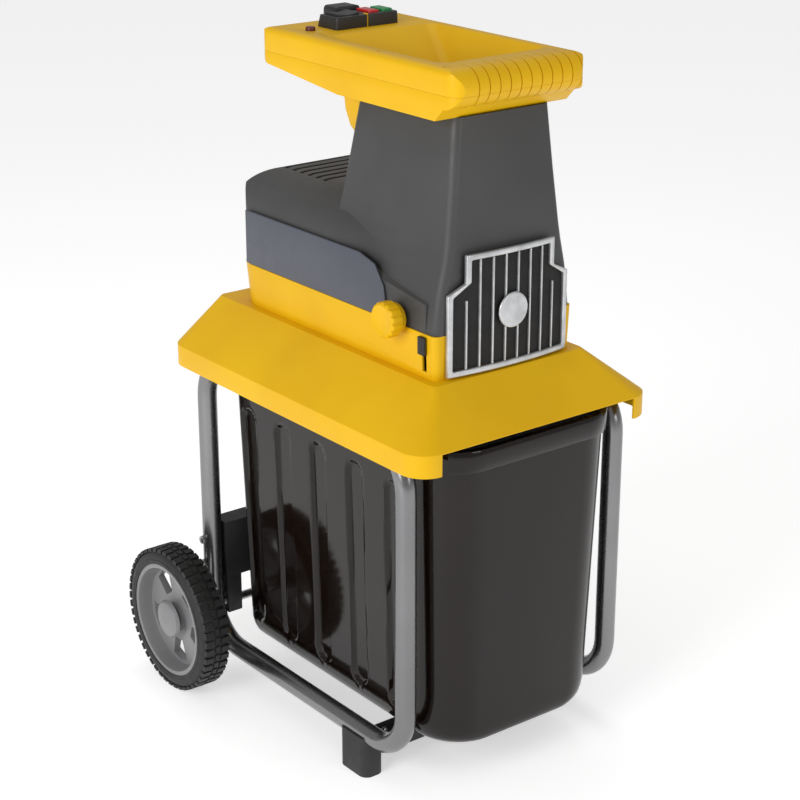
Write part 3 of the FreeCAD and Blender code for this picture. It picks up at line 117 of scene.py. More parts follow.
# The camera stands to the machine's left front, a little above its hopper.
camera_place = Vector((-1.4766, -1.9164, 1.3193))
camera_turn, camera_rise = math.radians(-37.797), math.radians(20.432)
camera_data = bpy.data.cameras.new("camera")
camera_data.sensor_width = 36
camera_data.lens = 88.99
backward = Vector((math.sin(camera_turn) * math.cos(camera_rise),
                   -math.cos(camera_turn) * math.cos(camera_rise), math.sin(camera_rise)))
rightward = Vector((math.cos(camera_turn), math.sin(camera_turn), 0))
upward = backward.cross(rightward)
camera = bpy.data.objects.new("camera", camera_data)
camera.matrix_world = Matrix.Translation(camera_place) @ Matrix(
    (rightward, upward, backward)).transposed().to_4x4()
scene.collection.objects.link(camera)
scene.camera = camera

# ------------------------------------------------------------------ side frames
# Two loops of bent steel tube, welded shut behind the deck and finished in satin grey lacquer.
# Every finish shares a fine grain and a slow drift of tone and gloss, from moulding and handling.


def new_group(name, inputs, outputs):
    """An empty shader node group with float inputs and the given outputs."""
    group = bpy.data.node_groups.new(name, "ShaderNodeTree")
    for label, value in inputs:
        group.interface.new_socket(label, in_out="INPUT", socket_type="NodeSocketFloat")
        group.interface.items_tree[label].default_value = value
    for label in outputs:
        group.interface.new_socket(label, in_out="OUTPUT", socket_type="NodeSocketFloat")
    return group, group.nodes.new("NodeGroupInput"), group.nodes.new("NodeGroupOutput")


def noise_in(group, coordinates, scale, detail, roughness):
    """A noise texture in a group; scale is a socket or a number."""
    texture = group.nodes.new("ShaderNodeTexNoise")
    texture.inputs["Detail"].default_value = detail
    texture.inputs["Roughness"].default_value = roughness
    if isinstance(scale, (int, float)):
        texture.inputs["Scale"].default_value = scale
    else:
        group.links.new(scale, texture.inputs["Scale"])
    group.links.new(coordinates.outputs["Object"], texture.inputs["Vector"])
    return texture.outputs["Fac"]


def math_in(group, operation, first, second):
    """A math node in a group; each operand is a socket or a number."""
    node = group.nodes.new("ShaderNodeMath")
    node.operation = operation
    for socket, operand in zip(node.inputs, (first, second)):
        if isinstance(operand, (int, float)):
            socket.default_value = operand
        else:
            group.links.new(operand, socket)
    return node.outputs["Value"]


def grain_group():
    """Moulded grain: rounded cells broken up by finer noise."""
    group, inward, outward = new_group("moulded_grain", [("Scale", 900.0)], ["Height"])
    coordinates = group.nodes.new("ShaderNodeTexCoord")
    cells = group.nodes.new("ShaderNodeTexVoronoi")
    cells.feature = "SMOOTH_F1"
    group.links.new(inward.outputs["Scale"], cells.inputs["Scale"])
    group.links.new(coordinates.outputs["Object"], cells.inputs["Vector"])
    fine = noise_in(group, coordinates, math_in(group, "MULTIPLY", inward.outputs["Scale"], 2.3),
                    3.0, 0.6)
    height = math_in(group, "ADD", cells.outputs["Distance"], math_in(group, "MULTIPLY", fine, 0.6))
    group.links.new(height, outward.inputs["Height"])
    return group


def drift_group():
    """Slow changes over the surface: a broad mask and a finer smudge mask, both about 0 to 1."""
    group, inward, outward = new_group("surface_drift", [("Scale", 9.0)], ["Broad", "Smudge"])
    coordinates = group.nodes.new("ShaderNodeTexCoord")
    broad = noise_in(group, coordinates, inward.outputs["Scale"], 2.0, 0.5)
    smudge = noise_in(group, coordinates, math_in(group, "MULTIPLY", inward.outputs["Scale"], 6.0),
                      5.0, 0.65)
    group.links.new(broad, outward.inputs["Broad"])
    group.links.new(smudge, outward.inputs["Smudge"])
    return group


moulded_grain = grain_group()
surface_drift = drift_group()


def placed_group(tree, group, scale):
    """A group placed in a material at a pattern scale."""
    node = tree.nodes.new("ShaderNodeGroup")
    node.node_tree = group
    node.inputs["Scale"].default_value = scale
    return node


def mixed(tree, factor, first, second):
    """A colour that runs from first to second with a factor socket."""
    node = tree.nodes.new("ShaderNodeMix")
    node.data_type = "RGBA"
    tree.links.new(factor, node.inputs["Factor"])
    node.inputs["A"].default_value = (*first, 1)
    node.inputs["B"].default_value = (*second, 1)
    return node.outputs["Result"]


def spread(tree, factor, low, high):
    """A value that runs from low to high with a factor socket."""
    node = tree.nodes.new("ShaderNodeMapRange")
    node.inputs["From Min"].default_value = 0.3
    node.inputs["From Max"].default_value = 0.7
    node.inputs["To Min"].default_value = low
    node.inputs["To Max"].default_value = high
    tree.links.new(factor, node.inputs["Value"])
    return node.outputs["Result"]


def moulded(name, colour, worn, gloss, grain, depth, drift=9.0, shine=0.45):
    """A moulded plastic or rubber skin: two close tones, drifting gloss, and a bump of grain."""
    material = bpy.data.materials.new(name)
    material.use_nodes = True
    tree = material.node_tree
    shader = tree.nodes["Principled BSDF"]
    shader.inputs["Specular IOR Level"].default_value = shine
    slow = placed_group(tree, surface_drift, drift)
    skin = placed_group(tree, moulded_grain, grain)
    tree.links.new(mixed(tree, spread(tree, slow.outputs["Broad"], 0, 1), colour, worn),
                   shader.inputs["Base Color"])
    tree.links.new(spread(tree, slow.outputs["Smudge"], gloss[0], gloss[1]),
                   shader.inputs["Roughness"])
    bump = tree.nodes.new("ShaderNodeBump")
    bump.inputs["Strength"].default_value = 0.35
    bump.inputs["Distance"].default_value = depth
    tree.links.new(skin.outputs["Height"], bump.inputs["Height"])
    tree.links.new(bump.outputs["Normal"], shader.inputs["Normal"])
    return material


def metal(name, colour, worn, gloss, metallic, grain, depth, drift=7.0):
    """A metal finish: two close tones, drifting gloss, and a very fine bump."""
    material = moulded(name, colour, worn, gloss, grain, depth, drift, shine=0.5)
    material.node_tree.nodes["Principled BSDF"].inputs["Metallic"].default_value = metallic
    return material


frame_steel = metal("frame_steel", (0.27, 0.27, 0.275), (0.21, 0.21, 0.215), (0.20, 0.30), 0.95,
                    2500.0, 0.00003)


def add_object(name, mesh):
    """A new object in the scene that holds a mesh."""
    item = bpy.data.objects.new(name, mesh)
    scene.collection.objects.link(item)
    return item


def smooth_by_angle(mesh, degrees):
    """Shade smooth across edges that turn less than an angle."""
    limit = math.radians(degrees)
    shaped = bmesh.new()
    shaped.from_mesh(mesh)
    for face in shaped.faces:
        face.smooth = True
    for edge in shaped.edges:
        edge.smooth = len(edge.link_faces) == 2 and edge.calc_face_angle(0) < limit
    shaped.to_mesh(mesh)
    shaped.free()


def meshed(name, shaped):
    """The plain mesh of a finished edit, which is closed."""
    mesh = bpy.data.meshes.new(name)
    shaped.to_mesh(mesh)
    shaped.free()
    return mesh


def ruled(shaped, rings):
    """Faces between closed rings of as many vertices each."""
    for lower, upper in zip(rings, rings[1:]):
        for j in range(len(lower)):
            following = (j + 1) % len(lower)
            shaped.faces.new((lower[j], lower[following], upper[following], upper[j]))


def ring_of_points(centre, normal, side, radius, count):
    """Points of a circle round a path point, starting along side."""
    other = normal.cross(side).normalized()
    return [centre + radius * (math.cos(2 * math.pi * i / count) * side
                               + math.sin(2 * math.pi * i / count) * other)
            for i in range(count)]


def closed_tube(path, side, radius, count):
    """The mesh of a round bar along a closed path in a plane whose normal is side."""
    shaped = bmesh.new()
    rings = []
    for i, point in enumerate(path):
        ahead = (path[(i + 1) % len(path)] - path[i - 1]).normalized()
        rings.append([shaped.verts.new(v) for v in ring_of_points(point, ahead, side, radius, count)])
    ruled(shaped, rings + rings[:1])
    bmesh.ops.recalc_face_normals(shaped, faces=shaped.faces)
    return meshed("tube", shaped)


def loop_path(middle_x, low, high, bend, steps):
    """A rectangle with round corners in the YZ plane between two corners of its centre line."""
    corners = [(high.y - bend, low.z + bend, -90), (high.y - bend, high.z - bend, 0),
               (low.y + bend, high.z - bend, 90), (low.y + bend, low.z + bend, 180)]
    return [Vector((middle_x, y + bend * math.cos(math.radians(start + 90 * i / steps)),
                    z + bend * math.sin(math.radians(start + 90 * i / steps))))
            for y, z, start in corners for i in range(steps + 1)]


def body_of_node(node):
    """The moving body that a node belongs to."""
    for body, members in frame["record"]["behaviour"]["bodies"].items():
        if node in members:
            return body
    return None


slots = {part["node"]: part["material_slot"] for part in frame["record"]["subparts"]}


def declare(piece, material, *replaced):
    """Give a piece its material and say which node it stands for and rides with."""
    piece.data.materials.clear()
    piece.data.materials.append(material)
    for polygon in piece.data.polygons:
        polygon.material_index = 0
    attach(piece, body_of_node(replaced[0]))
    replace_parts(piece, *replaced)
    return piece


TUBE_RADIUS, TUBE_BEND = 13 * mm, 60 * mm
for side_name in ("left", "right"):
    low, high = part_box(f"{side_name}_frame_tube")
    inset = Vector((TUBE_RADIUS, TUBE_RADIUS, TUBE_RADIUS))
    path = loop_path((low.x + high.x) / 2, low + inset, high - inset, TUBE_BEND, 10)
    tube = add_object(f"{side_name}_frame_loop",
                      closed_tube(path, Vector((1, 0, 0)), TUBE_RADIUS, 36))
    smooth_by_angle(tube.data, 60)
    declare(tube, frame_steel, f"{side_name}_frame_tube")

# ------------------------------------------------------------------ cross-members and feet
# Moulded black polypropylene: a channel between the rear uprights that carries the axle, a flat
# channel under the box, and two feet that cradle the lower tubes.
# Castings and mouldings have their sharp edges broken by a small radius.


def solidified(item):
    """Turn an object's modifiers into its plain mesh."""
    depsgraph = bpy.context.evaluated_depsgraph_get()
    mesh = bpy.data.meshes.new_from_object(item.evaluated_get(depsgraph))
    item.modifiers.clear()
    item.data = mesh
    return item


def finished(node, material, radius, segments=2, sharp=28.0):
    """A copy of a CAD node with its sharp edges rounded, standing for the node."""
    mesh = nodes[node].data.copy()
    shaped = bmesh.new()
    shaped.from_mesh(mesh)
    bmesh.ops.remove_doubles(shaped, verts=shaped.verts, dist=1e-6)
    bmesh.ops.dissolve_limit(shaped, angle_limit=math.radians(0.4), verts=shaped.verts,
                             edges=shaped.edges)
    bmesh.ops.dissolve_degenerate(shaped, edges=shaped.edges, dist=1e-5)
    shaped.to_mesh(mesh)
    shaped.free()
    piece = add_object(f"{node}_finished", mesh)
    bevel = piece.modifiers.new("edge_radius", "BEVEL")
    bevel.width = radius
    bevel.segments = segments
    bevel.limit_method = "ANGLE"
    bevel.angle_limit = math.radians(sharp)
    bevel.use_clamp_overlap = True
    bevel.miter_outer = "MITER_ARC"
    solidified(piece)
    smooth_by_angle(piece.data, 40)
    return declare(piece, material, node)


black_plastic = moulded("black_plastic", (0.014, 0.014, 0.015), (0.020, 0.020, 0.021),
                        (0.38, 0.55), 1300.0, 0.00015)
foot_rubber = moulded("foot_rubber", (0.020, 0.020, 0.020), (0.030, 0.030, 0.029), (0.55, 0.75),
                      1100.0, 0.0002)
zinc_steel = metal("zinc_steel", (0.58, 0.58, 0.57), (0.45, 0.45, 0.45), (0.22, 0.42), 1.0,
                   1800.0, 0.00004)
finished("rear_cross_member", black_plastic, 1.6 * mm)
finished("front_cross_member", black_plastic, 1.2 * mm)
for side_name in ("left", "right"):
    finished(f"{side_name}_foot", foot_rubber, 1.5 * mm)
    finished(f"{side_name}_guide_rail", zinc_steel, 0.4 * mm)

for fastener in ("foot_screws", "frame_bolts", "deck_screws", "hopper_screws", "axle_retainers",
                 "wheel_axle"):
    finished(fastener, zinc_steel, 0.4 * mm)

# ------------------------------------------------------------------ wheels
# Blow-moulded tyres with a ribbed tread on grey moulded rims; a domed cap snaps over the hub.


def lathe(profile, centre, count):
    """A mesh turned about a line along X: profile points are (radius, x)."""
    shaped = bmesh.new()
    rings = []
    for radius, x in profile:
        rings.append([shaped.verts.new(
            (x, centre.y + radius * math.cos(2 * math.pi * i / count),
             centre.z + radius * math.sin(2 * math.pi * i / count))) for i in range(count)])
    ruled(shaped, rings + rings[:1])
    bmesh.ops.recalc_face_normals(shaped, faces=shaped.faces)
    return meshed("lathe", shaped)


def spin_tree():
    """Geometry nodes: copies of the mesh turned about the X axis through a centre."""
    tree = bpy.data.node_groups.new("turned_copies", "GeometryNodeTree")
    tree.interface.new_socket("Geometry", in_out="INPUT", socket_type="NodeSocketGeometry")
    for label, kind in (("Count", "NodeSocketInt"), ("Centre", "NodeSocketVector"),
                        ("Material", "NodeSocketMaterial")):
        tree.interface.new_socket(label, in_out="INPUT", socket_type=kind)
    tree.interface.new_socket("Geometry", in_out="OUTPUT", socket_type="NodeSocketGeometry")
    inward = tree.nodes.new("NodeGroupInput")
    outward = tree.nodes.new("NodeGroupOutput")
    line = tree.nodes.new("GeometryNodeMeshLine")
    line.inputs["Offset"].default_value = (0, 0, 0)
    tree.links.new(inward.outputs["Count"], line.inputs["Count"])
    tree.links.new(inward.outputs["Centre"], line.inputs["Start Location"])
    index = tree.nodes.new("GeometryNodeInputIndex")
    share = tree.nodes.new("ShaderNodeMath")
    share.operation = "DIVIDE"
    tree.links.new(index.outputs["Index"], share.inputs[0])
    tree.links.new(inward.outputs["Count"], share.inputs[1])
    turn = tree.nodes.new("ShaderNodeMath")
    turn.operation = "MULTIPLY"
    turn.inputs[1].default_value = 2 * math.pi
    tree.links.new(share.outputs["Value"], turn.inputs[0])
    angles = tree.nodes.new("ShaderNodeCombineXYZ")
    tree.links.new(turn.outputs["Value"], angles.inputs["X"])
    copies = tree.nodes.new("GeometryNodeInstanceOnPoints")
    tree.links.new(line.outputs["Mesh"], copies.inputs["Points"])
    tree.links.new(inward.outputs["Geometry"], copies.inputs["Instance"])
    tree.links.new(angles.outputs["Vector"], copies.inputs["Rotation"])
    real = tree.nodes.new("GeometryNodeRealizeInstances")
    tree.links.new(copies.outputs["Instances"], real.inputs["Geometry"])
    paint = tree.nodes.new("GeometryNodeSetMaterial")
    tree.links.new(real.outputs["Geometry"], paint.inputs["Geometry"])
    tree.links.new(inward.outputs["Material"], paint.inputs["Material"])
    tree.links.new(paint.outputs["Geometry"], outward.inputs["Geometry"])
    return tree


turned_copies = spin_tree()


def run_tree(item, tree, **values):
    """Run a geometry nodes tree on an object and keep its result as a plain mesh."""
    modifier = item.modifiers.new("copies", "NODES")
    modifier.node_group = tree
    for socket in tree.interface.items_tree:
        if socket.in_out == "INPUT" and socket.name in values:
            modifier[socket.identifier] = values[socket.name]
    return solidified(item)


def box_mesh(low, high, taper=0.0):
    """A block between two corners whose +Z end is narrower by taper all round."""
    shaped = bmesh.new()
    lower = [Vector((x, y, low.z)) for x, y in
             ((low.x, low.y), (high.x, low.y), (high.x, high.y), (low.x, high.y))]
    middle = (low + high) / 2
    upper = [Vector((v.x + math.copysign(taper, middle.x - v.x),
                     v.y + math.copysign(taper, middle.y - v.y), high.z)) for v in lower]
    verts = [shaped.verts.new(v) for v in lower + upper]
    for ring in ((0, 3, 2, 1), (4, 5, 6, 7), (0, 1, 5, 4), (1, 2, 6, 5), (2, 3, 7, 6), (3, 0, 4, 7)):
        shaped.faces.new([verts[i] for i in ring])
    return meshed("block", shaped)


def joined(name, items):
    """One object from several plain ones."""
    shaped = bmesh.new()
    for item in items:
        shaped.from_mesh(item.data)
        bpy.data.objects.remove(item)
    return add_object(name, meshed(name, shaped))


tyre_rubber = moulded("tyre_rubber", (0.010, 0.010, 0.010), (0.018, 0.0175, 0.017), (0.50, 0.68),
                      900.0, 0.0003, 14.0)
rim_plastic = moulded("rim_plastic", (0.23, 0.23, 0.235), (0.185, 0.185, 0.19), (0.30, 0.42),
                      1500.0, 0.0001)
TREAD_LUGS, LUG_SHARE = 48, 0.36
LUG_DEPTH, LUG_ROOT, LUG_STAGGER = 1.5 * mm, 3 * mm, 0.5
BEAD_RADIUS, BEAD_POINTS = 1.1 * mm, 8
WHEEL_STEPS = 96
rim_radius = 79 * mm
for side_name in ("left", "right"):
    low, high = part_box(f"{side_name}_tyre")
    centre = (low + high) / 2
    tread_radius = (high.z - low.z) / 2
    carcass = tread_radius - LUG_DEPTH
    half = (high.x - low.x) / 2
    profile = [
        (rim_radius, -half), (rim_radius + 4 * mm, -half - 0.6 * mm),
        (carcass - 10 * mm, -half + 0.4 * mm), (carcass - 4 * mm, -half + 3 * mm),
        (carcass - 0.6 * mm, -half + 8 * mm), (carcass, 0), (carcass - 0.6 * mm, half - 8 * mm),
        (carcass - 4 * mm, half - 3 * mm), (carcass - 10 * mm, half - 0.4 * mm),
        (rim_radius + 4 * mm, half + 0.6 * mm), (rim_radius, half), (rim_radius, 0)]
    tyre = add_object("tyre_carcass", lathe([(r, centre.x + x) for r, x in profile],
                                          centre, WHEEL_STEPS))
    parts = [tyre]
    lug_width = 2 * math.pi * tread_radius / TREAD_LUGS * LUG_SHARE
    for row, (start, end) in enumerate(((-half + 2 * mm, -5.2 * mm), (-3.6 * mm, 3.6 * mm),
                                        (5.2 * mm, half - 2 * mm))):
        shift = LUG_STAGGER * lug_width if row == 1 else 0
        lug = add_object("tread_lug", box_mesh(
            Vector((start, -lug_width + shift, carcass - LUG_ROOT)),
            Vector((end, lug_width + shift, tread_radius - 0.05 * mm)), 0.5 * mm))
        run_tree(lug, turned_copies, Count=TREAD_LUGS, Centre=centre, Material=tyre_rubber)
        parts.append(lug)
    for face in (-1, 1):
        bead_x = centre.x + (half - 0.1 * mm) * face
        bead = [(rim_radius + 5 * mm + BEAD_RADIUS * math.cos(a), bead_x + BEAD_RADIUS * math.sin(a))
                for a in (2 * math.pi * k / BEAD_POINTS for k in range(BEAD_POINTS))]
        parts.append(add_object("bead", lathe(bead, centre, WHEEL_STEPS)))
    whole = joined(f"{side_name}_tyre_moulded", parts)
    smooth_by_angle(whole.data, 35)
    declare(whole, tyre_rubber, f"{side_name}_tyre")
    finished(f"{side_name}_wheel_rim", rim_plastic, 1.5 * mm, 3)
    finished(f"{side_name}_hub_cap", rim_plastic, 0.8 * mm, 3)

# ------------------------------------------------------------------ deck
# One large moulding in yellow polypropylene: a flat top, four sloping flanks and a skirt.

yellow_plastic = moulded("yellow_plastic", (0.80, 0.47, 0.0025), (0.75, 0.425, 0.0025),
                         (0.36, 0.46), 1500.0, 0.00012, shine=0.22)
finished("deck", yellow_plastic, 2.6 * mm, 4, 18)

# ------------------------------------------------------------------ collection box
# Thin-walled tub in smoked brown polycarbonate, half see-through. Five arched channels run down
# each side, and a thick band stiffens the rim round its front.


def smoked_finish():
    """Glossy brown plastic that lets a little of the inside show."""
    material = moulded("smoked_plastic", (0.0050, 0.0026, 0.0018), (0.0085, 0.0048, 0.0034),
                       (0.05, 0.11), 40.0, 0.00005, 5.0, shine=0.38)
    shader = material.node_tree.nodes["Principled BSDF"]
    shader.inputs["Alpha"].default_value = 0.93
    shader.inputs["IOR"].default_value = 1.50
    return material


smoked_plastic = smoked_finish()
BOX_WALL = 3 * mm
BOX_FRONT_ROUND, BOX_REAR_ROUND = 60 * mm, 14 * mm
BOX_TAPER, BOX_FRONT_TAPER = 9 * mm, 10 * mm
BAND_HEIGHT, BAND_REACH = 28 * mm, 5 * mm
FLUTES, FLUTE_SPACING, FLUTE_WIDTH, FLUTE_DEPTH = 5, 78 * mm, 34 * mm, 5 * mm
FLUTE_LOW, FLUTE_HIGH, FLUTE_ROUND = 104 * mm, 382 * mm, 4 * mm
box_low, box_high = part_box("collection_box")
LIP_WIDTH, BAND_ROOM, FLUTE_MARGIN = 7 * mm, 6 * mm, 32 * mm
box_half = box_high.x - LIP_WIDTH
box_front, box_rear = box_low.y + BAND_ROOM, box_high.y
flute_rear = box_rear - FLUTE_MARGIN


def tub_outline(half, front, rear, front_round, rear_round):
    """Points round a level section of the tub, close together along its sides."""
    points = []
    side_steps, corner_steps = 130, 10
    start, end = rear - rear_round, front + front_round
    for i in range(side_steps + 1):
        points.append((-half, start + (end - start) * i / side_steps))
    for i in range(1, corner_steps):
        angle = math.radians(180 + 90 * i / corner_steps)
        points.append((front_round - half + front_round * math.cos(angle),
                       end + front_round * math.sin(angle)))
    points += [(front_round - half, front), (0, front)]
    mirrored = [(-x, y) for x, y in reversed(points[:-1])]
    rear_arc = []
    for i in range(1, corner_steps):
        angle = math.radians(90 * i / corner_steps)
        rear_arc.append((half - rear_round + rear_round * math.cos(angle),
                         start + rear_round * math.sin(angle)))
    rear_run = [(half - rear_round, rear), (rear_round - half, rear)]
    return points + mirrored + rear_arc + rear_run + [(-x, y) for x, y in reversed(rear_arc)]


def flute_depth(y, z):
    """How far a side wall is pressed in at a place: round-ended upright channels."""
    outside_ends = z - min(max(z, FLUTE_LOW), FLUTE_HIGH)
    deepest = 0.0
    for i in range(FLUTES):
        inside = FLUTE_WIDTH / 2 - math.hypot(y - flute_rear + i * FLUTE_SPACING, outside_ends)
        share = min(max(inside / FLUTE_ROUND, 0.0), 1.0)
        deepest = max(deepest, FLUTE_DEPTH * share * share * (3 - 2 * share))
    return deepest


# The rounded foot: how far the sides and the front draw in at each height above the floor.
FOOT_DRAWS = ((0, 22, 9), (4, 13, 3), (8, 8.5, 1.5), (12, 5, 0.5), (20, 2, 0))
FOOT_HEIGHT, FINE_STEP, COARSE_STEP = 30 * mm, 4 * mm, 12 * mm
LOW_STEPS, MIDDLE_STEPS, HIGH_STEPS = 11, 19, 18


def tub_levels():
    """The tub's sections, each (height, half-width, front, rear), close where flutes end."""
    levels = [(box_low.z + rise * mm, box_half - BOX_TAPER - side * mm,
               box_front + BOX_FRONT_TAPER + ahead * mm, box_rear - BOX_TAPER - side * mm)
              for rise, side, ahead in FOOT_DRAWS]
    upright = box_low.z + FOOT_HEIGHT
    heights = [upright + FINE_STEP * i for i in range(LOW_STEPS)]
    middle = upright + FINE_STEP * LOW_STEPS
    heights += [middle + COARSE_STEP * i for i in range(MIDDLE_STEPS)]
    heights += [heights[-1] + FINE_STEP * i for i in range(1, HIGH_STEPS)] + [box_high.z]
    for z in heights:
        share = (z - upright) / (box_high.z - upright)
        taper = (1 - share) * BOX_TAPER
        levels.append((z, box_half - taper, box_front + (1 - share) * BOX_FRONT_TAPER,
                       box_rear - taper))
    return levels


def tub_object():
    """The tub: a fluted, tapering skin given its wall."""
    shaped = bmesh.new()
    rings = []
    for z, half, front, rear in tub_levels():
        ring = []
        for x, y in tub_outline(half, front, rear, BOX_FRONT_ROUND, BOX_REAR_ROUND):
            on_side = abs(abs(x) - half) < 1e-6
            pressed = flute_depth(y, z) if on_side else 0.0
            ring.append(shaped.verts.new((x - math.copysign(pressed, x), y, z)))
        rings.append(ring)
    ruled(shaped, rings)
    shaped.faces.new(rings[0])
    bmesh.ops.recalc_face_normals(shaped, faces=shaped.faces)
    if sum(face.normal.z for face in shaped.faces if len(face.verts) > 4) > 0:
        bmesh.ops.reverse_faces(shaped, faces=shaped.faces)
    tub = add_object("tub", meshed("tub", shaped))
    wall = tub.modifiers.new("wall", "SOLIDIFY")
    wall.thickness = BOX_WALL
    wall.offset = -1
    return solidified(tub)


def rim_band():
    """The band round the front of the rim: an outer skin, a top edge and an inner skin."""
    shaped = bmesh.new()
    low, high = box_high.z - BAND_HEIGHT, box_high.z
    band_end = box_front + BOX_FRONT_ROUND
    profile = ((0.5 * mm, low + 1 * mm), (BAND_REACH - 1 * mm, low), (BAND_REACH, low + 1 * mm),
               (BAND_REACH + 0.8 * mm, high - 1 * mm), (BAND_REACH, high), (0.5 * mm, high))
    rows = []
    for grown, z in profile:
        side_growth = min(grown, 1.5 * mm)
        outline = tub_outline(box_half + side_growth, box_front - grown, box_rear,
                              BOX_FRONT_ROUND, BOX_REAR_ROUND)
        rows.append([(x, y, z) for x, y in outline if y < band_end - grown + 1e-6])
    rings = [[shaped.verts.new(point) for point in row] for row in rows]
    for near, far in zip(rings, rings[1:] + rings[:1]):
        for j in range(len(near) - 1):
            shaped.faces.new((near[j], near[j + 1], far[j + 1], far[j]))
    for end in (0, -1):
        shaped.faces.new([ring[end] for ring in rings])
    bmesh.ops.recalc_face_normals(shaped, faces=shaped.faces)
    return add_object("band", meshed("band", shaped))


LIP_THICKNESS = 8 * mm
side_lips = [add_object("side_lip", box_mesh(
    Vector((min(inner, outer), box_front + BOX_FRONT_ROUND, box_high.z - LIP_THICKNESS)),
    Vector((max(inner, outer), box_rear, box_high.z)), 0.6 * mm))
    for inner, outer in ((-box_half, box_low.x), (box_half, box_high.x))]
collector = joined("collection_box_moulded", [tub_object(), rim_band()] + side_lips)
smooth_by_angle(collector.data, 45)
declare(collector, smoked_plastic, "collection_box")

# ------------------------------------------------------------------ casing
# Yellow lower tray, anthracite upper shell with the tower, and blue-grey covers on its flanks.

dark_plastic = moulded("dark_plastic", (0.058, 0.058, 0.059), (0.048, 0.048, 0.049),
                       (0.42, 0.54), 1500.0, 0.00015)
panel_plastic = moulded("panel_plastic", (0.080, 0.087, 0.110), (0.070, 0.077, 0.099),
                        (0.38, 0.48), 1500.0, 0.00012)
finished("lower_housing", yellow_plastic, 1.4 * mm, 3)
finished("upper_housing", dark_plastic, 1.6 * mm, 3, 20)
for side_name in ("left", "right"):
    finished(f"{side_name}_side_panel", panel_plastic, 1.2 * mm, 3)

# ------------------------------------------------------------------ hopper
# Two yellow shells screwed together; the upper one carries the funnel. Fine grooves run round the
# front roll where a hand takes hold, and screw recesses lie along the left edge.


def carved(piece, cutters):
    """A piece with cutter objects taken out of it."""
    cutter = joined("cutter", cutters)
    shaped = bmesh.new()
    shaped.from_mesh(cutter.data)
    bmesh.ops.recalc_face_normals(shaped, faces=shaped.faces)
    shaped.to_mesh(cutter.data)
    shaped.free()
    carve = piece.modifiers.new("carve", "BOOLEAN")
    carve.object = cutter
    carve.operation = "DIFFERENCE"
    carve.solver = "EXACT"
    solidified(piece)
    bpy.data.objects.remove(cutter)
    smooth_by_angle(piece.data, 40)
    return piece


def grip_rings(low, high):
    """Thin rings round the axis of the hopper's front roll."""
    roll, left_margin, right_margin = 23 * mm, 34 * mm, 10 * mm
    centre = Vector((0, low.y + roll, high.z - roll))
    count, width, depth = 11, 1.5 * mm, 2.0 * mm
    first, last = low.x + left_margin, high.x - right_margin
    rings = []
    for i in range(count):
        x = first + (last - first) * i / (count - 1)
        rings.append(add_object("grip_ring", lathe(
            [(roll - depth, x - width / 2), (roll + depth, x - width / 2),
             (roll + depth, x + width / 2), (roll - depth, x + width / 2)], centre, 64)))
    return rings


def screw_recesses(low, high):
    """Small square-cut recesses in the hopper's top along its left edge."""
    half_length, half_width, depth = 3.2 * mm, 1.4 * mm, 1.6 * mm
    front_edge, rear_edge = 11 * mm, 28 * mm
    behind_front, before_middle, before_rear = 34 * mm, 39 * mm, 114 * mm
    places = [(low.x + front_edge, low.y + behind_front),
              (low.x + front_edge, (low.y + high.y) / 2 - before_middle),
              (low.x + rear_edge, high.y - before_rear)]
    return [add_object("recess", box_mesh(
        Vector((x - half_length, y - half_width, high.z - depth)),
        Vector((x + half_length, y + half_width, high.z + depth)))) for x, y in places]


def level_ring(shaped, half, front, rear, radius, height, steps=6):
    """Vertices of a level rectangle with round corners."""
    corners = ((half - radius, rear - radius, 0), (radius - half, rear - radius, 90),
               (radius - half, front + radius, 180), (half - radius, front + radius, 270))
    return [shaped.verts.new((x + radius * math.cos(math.radians(start + 90 * i / steps)),
                              y + radius * math.sin(math.radians(start + 90 * i / steps)), height))
            for x, y, start in corners for i in range(steps + 1)]


def skinned(name, sections):
    """A closed solid through level sections, each (half, front, rear, radius, height)."""
    shaped = bmesh.new()
    rings = [level_ring(shaped, *section) for section in sections]
    ruled(shaped, rings)
    shaped.faces.new(rings[0])
    shaped.faces.new(rings[-1])
    bmesh.ops.recalc_face_normals(shaped, faces=shaped.faces)
    return add_object(name, meshed(name, shaped))


shell_low, shell_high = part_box("hopper_upper_shell")
shell_high = Vector((shell_high.x, shell_high.y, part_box("switch_box")[0].z))
upper_shell = finished("hopper_upper_shell", yellow_plastic, 2.0 * mm, 3, 24)
carved(upper_shell, grip_rings(shell_low, shell_high) + screw_recesses(shell_low, shell_high))
lower_shell = finished("hopper_lower_shell", yellow_plastic, 1.6 * mm, 3, 24)
carved(lower_shell, grip_rings(shell_low, shell_high))

# The collar that hangs behind the tower is fuller than its core: a round-bottomed lobe.
# Each section: half-width, front and rear behind the tower, corner radius, drop below the collar.
LOBE_SECTIONS = ((36, 12, 20, 3, 76), (47, 11, 36, 8, 68), (54, 9, 46, 11, 54), (58, 6, 51, 12, 34),
                 (60, 0, 54, 12, 0))
HOPPER_OVERHANG, COLLAR_DROP = 168 * mm, 57 * mm
tower_rear = shell_high.y - HOPPER_OVERHANG
collar_top = shell_high.z - COLLAR_DROP
lobe = skinned("collar_lobe", [
    (half * mm, tower_rear + front * mm, tower_rear + rear * mm, corner * mm, collar_top - drop * mm)
    for half, front, rear, corner, drop in LOBE_SECTIONS])
smooth_by_angle(lobe.data, 50)
lower_shell = joined("hopper_lower_moulded", [lower_shell, lobe])
declare(lower_shell, yellow_plastic, "hopper_lower_shell")
finished("feed_chute", black_plastic, 1.0 * mm)
finished("discharge_chute", black_plastic, 0.8 * mm)

# ------------------------------------------------------------------ grille
# Silver-painted frame and bars over a black backing, with a blank disc in the middle.

